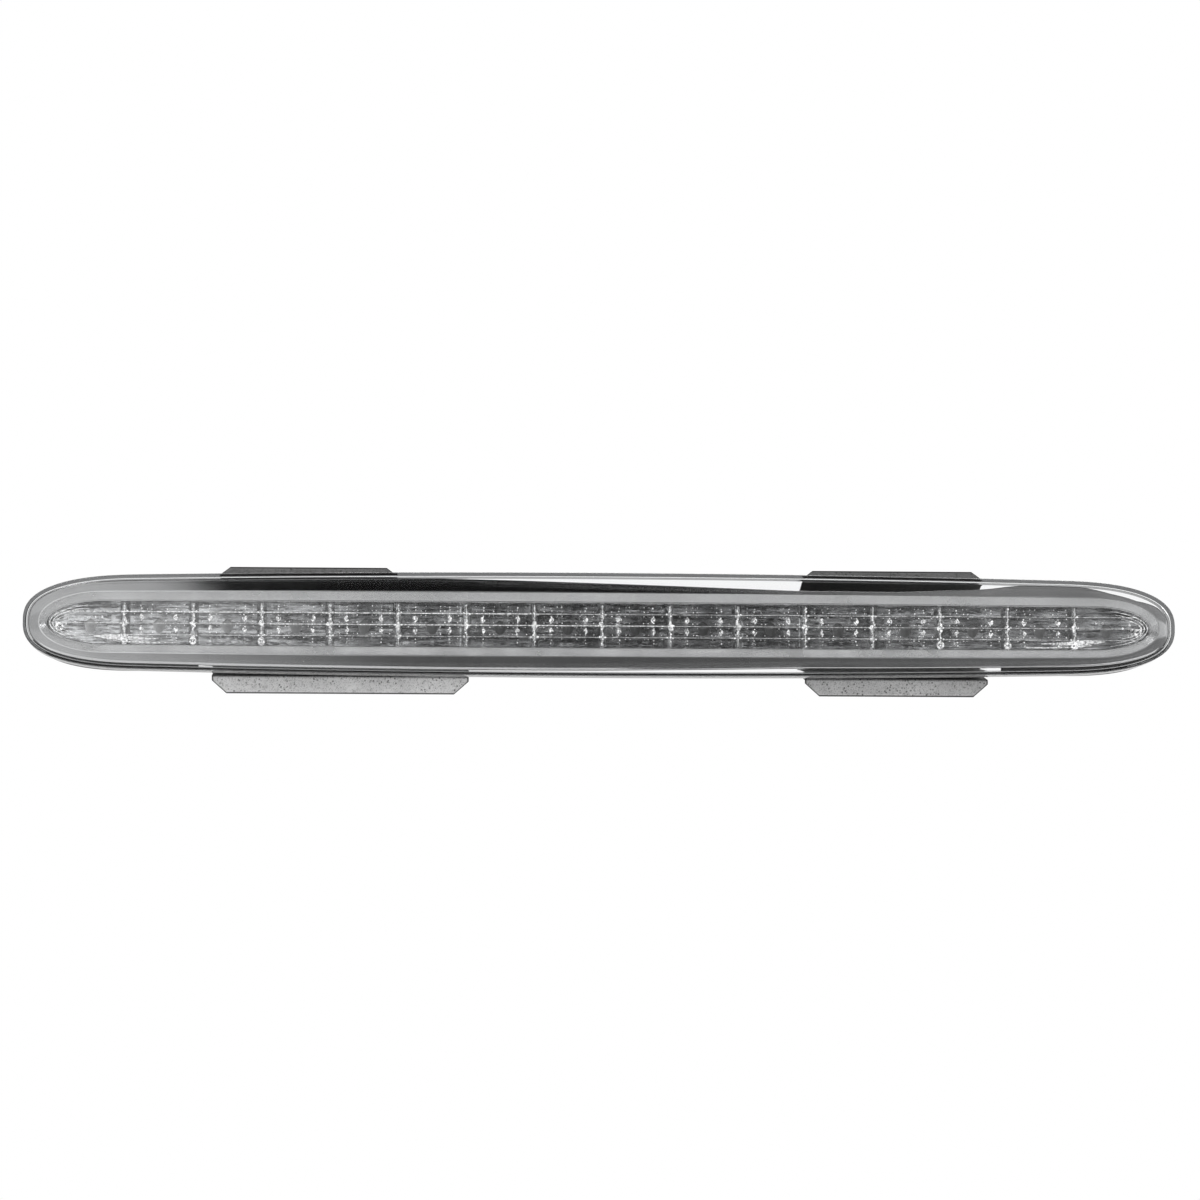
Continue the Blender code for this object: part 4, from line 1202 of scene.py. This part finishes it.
def reflection_screen():
    """Panel in front of the lamp that only reflections see."""
    x = np.linspace(-PANEL_REACH, PANEL_REACH, 481)
    z = np.linspace(PANEL_LOW, PANEL_HIGH, 240)
    columns, rows = np.meshgrid(x, z, indexing="ij")
    points = grid(columns, PANEL_Y, rows).reshape(-1, 3)
    index = np.arange(len(points)).reshape(columns.shape)
    quads = np.stack([index[:-1, :-1], index[1:, :-1], index[1:, 1:], index[:-1, 1:]], axis=-1)
    mesh = bpy.data.meshes.new("reflection_screen")
    mesh.from_pydata(points.tolist(), [], quads.reshape(-1, 4).tolist())
    tone = screen_tone(points[:, 0], points[:, 2])
    layer = mesh.color_attributes.new("tone", "FLOAT_COLOR", "POINT")
    layer.data.foreach_set("color", np.column_stack([tone] * 3 + [np.ones_like(tone)]).ravel())
    mesh.materials.append(emitter("screen_light", "tone"))
    screen = placed("reflection_screen", mesh)
    screen.visible_camera = False
    screen.visible_shadow = False
    screen.visible_diffuse = False


def floor_paint(name):
    f = Finish(name, 0.68, 0.6)
    f.paint(f.noise(12.0), 0.66, 0.70)
    return f.material


def floor():
    points = [(FLOOR_R * math.cos(a), FLOOR_R * math.sin(a), FLOOR_Z) for a in circle(96)]
    mesh = bpy.data.meshes.new("floor")
    mesh.from_pydata(points, [], [list(range(len(points)))])
    mesh.materials.append(floor_paint("floor_paint"))
    placed("floor", mesh)


def area_light(name, place, aim, size, power):
    data = bpy.data.lights.new(name, "AREA")
    data.shape = "RECTANGLE"
    data.size, data.size_y = size
    data.energy = power
    light = placed(name, data)
    light.location = place
    light.rotation_euler = (Vector(aim) - Vector(place)).to_track_quat("-Z", "Y").to_euler()
    light.visible_camera = False


def studio():
    scene = bpy.context.scene
    scene.view_settings.view_transform = "Standard"
    world = bpy.data.worlds.new("studio")
    world.use_nodes = True
    background = world.node_tree.nodes["Background"]
    background.inputs["Color"].default_value = (1.0, 1.0, 1.0, 1.0)
    scene.world = world
    floor()
    reflection_screen()
    area_light("key", (-0.5, -0.6, 1.1), (0, 0, 0), (0.25, 0.25), 1.2)
    area_light("fill", (0.9, -0.3, 0.5), (0, 0, 0), (0.2, 0.3), 0.8)
    area_light("back", (0.2, 0.9, 0.8), (0, 0, 0), (0.6, 0.4), 1.5)


CAMERA_PLACE = (-0.0887, -1.5916, -0.1950)
CAMERA_AIM = (-0.00094, -0.006, 0.0096)
CAMERA_LENS = 128.55
CAMERA_ROLL = math.radians(-0.03)


def camera():
    data = bpy.data.cameras.new("camera")
    data.sensor_width = 36.0
    data.lens = CAMERA_LENS
    data.clip_start, data.clip_end = 0.01, 20.0
    cam = placed("camera", data)
    cam.location = CAMERA_PLACE
    along = Vector(CAMERA_AIM) - Vector(CAMERA_PLACE)
    turn = along.to_track_quat("-Z", "Y").to_matrix() @ Matrix.Rotation(CAMERA_ROLL, 3, "Z")
    cam.rotation_euler = turn.to_euler()
    bpy.context.scene.camera = cam


CARRIED = {
    "circuit_board": "board", "resistor": "dark", "capacitor": "dark", "diode": "dark",
    "board_screw": "zinc",
}


def carried_over():
    """Finishes for the CAD nodes that stay as they are."""
    for name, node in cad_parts.items():
        for start, finish in CARRIED.items():
            if name.startswith(start):
                node.data.materials.clear()
                node.data.materials.append(FINISH[finish])


camera()
studio()
cover_lens()
frame_moulding()
frame_recess()
ribbed_optic()
optic_relief()
reflector()
leds()
housing_shell()
back_details()
pads()
clips()
socket()
vent()
carried_over()

bpy.context.view_layer.update()
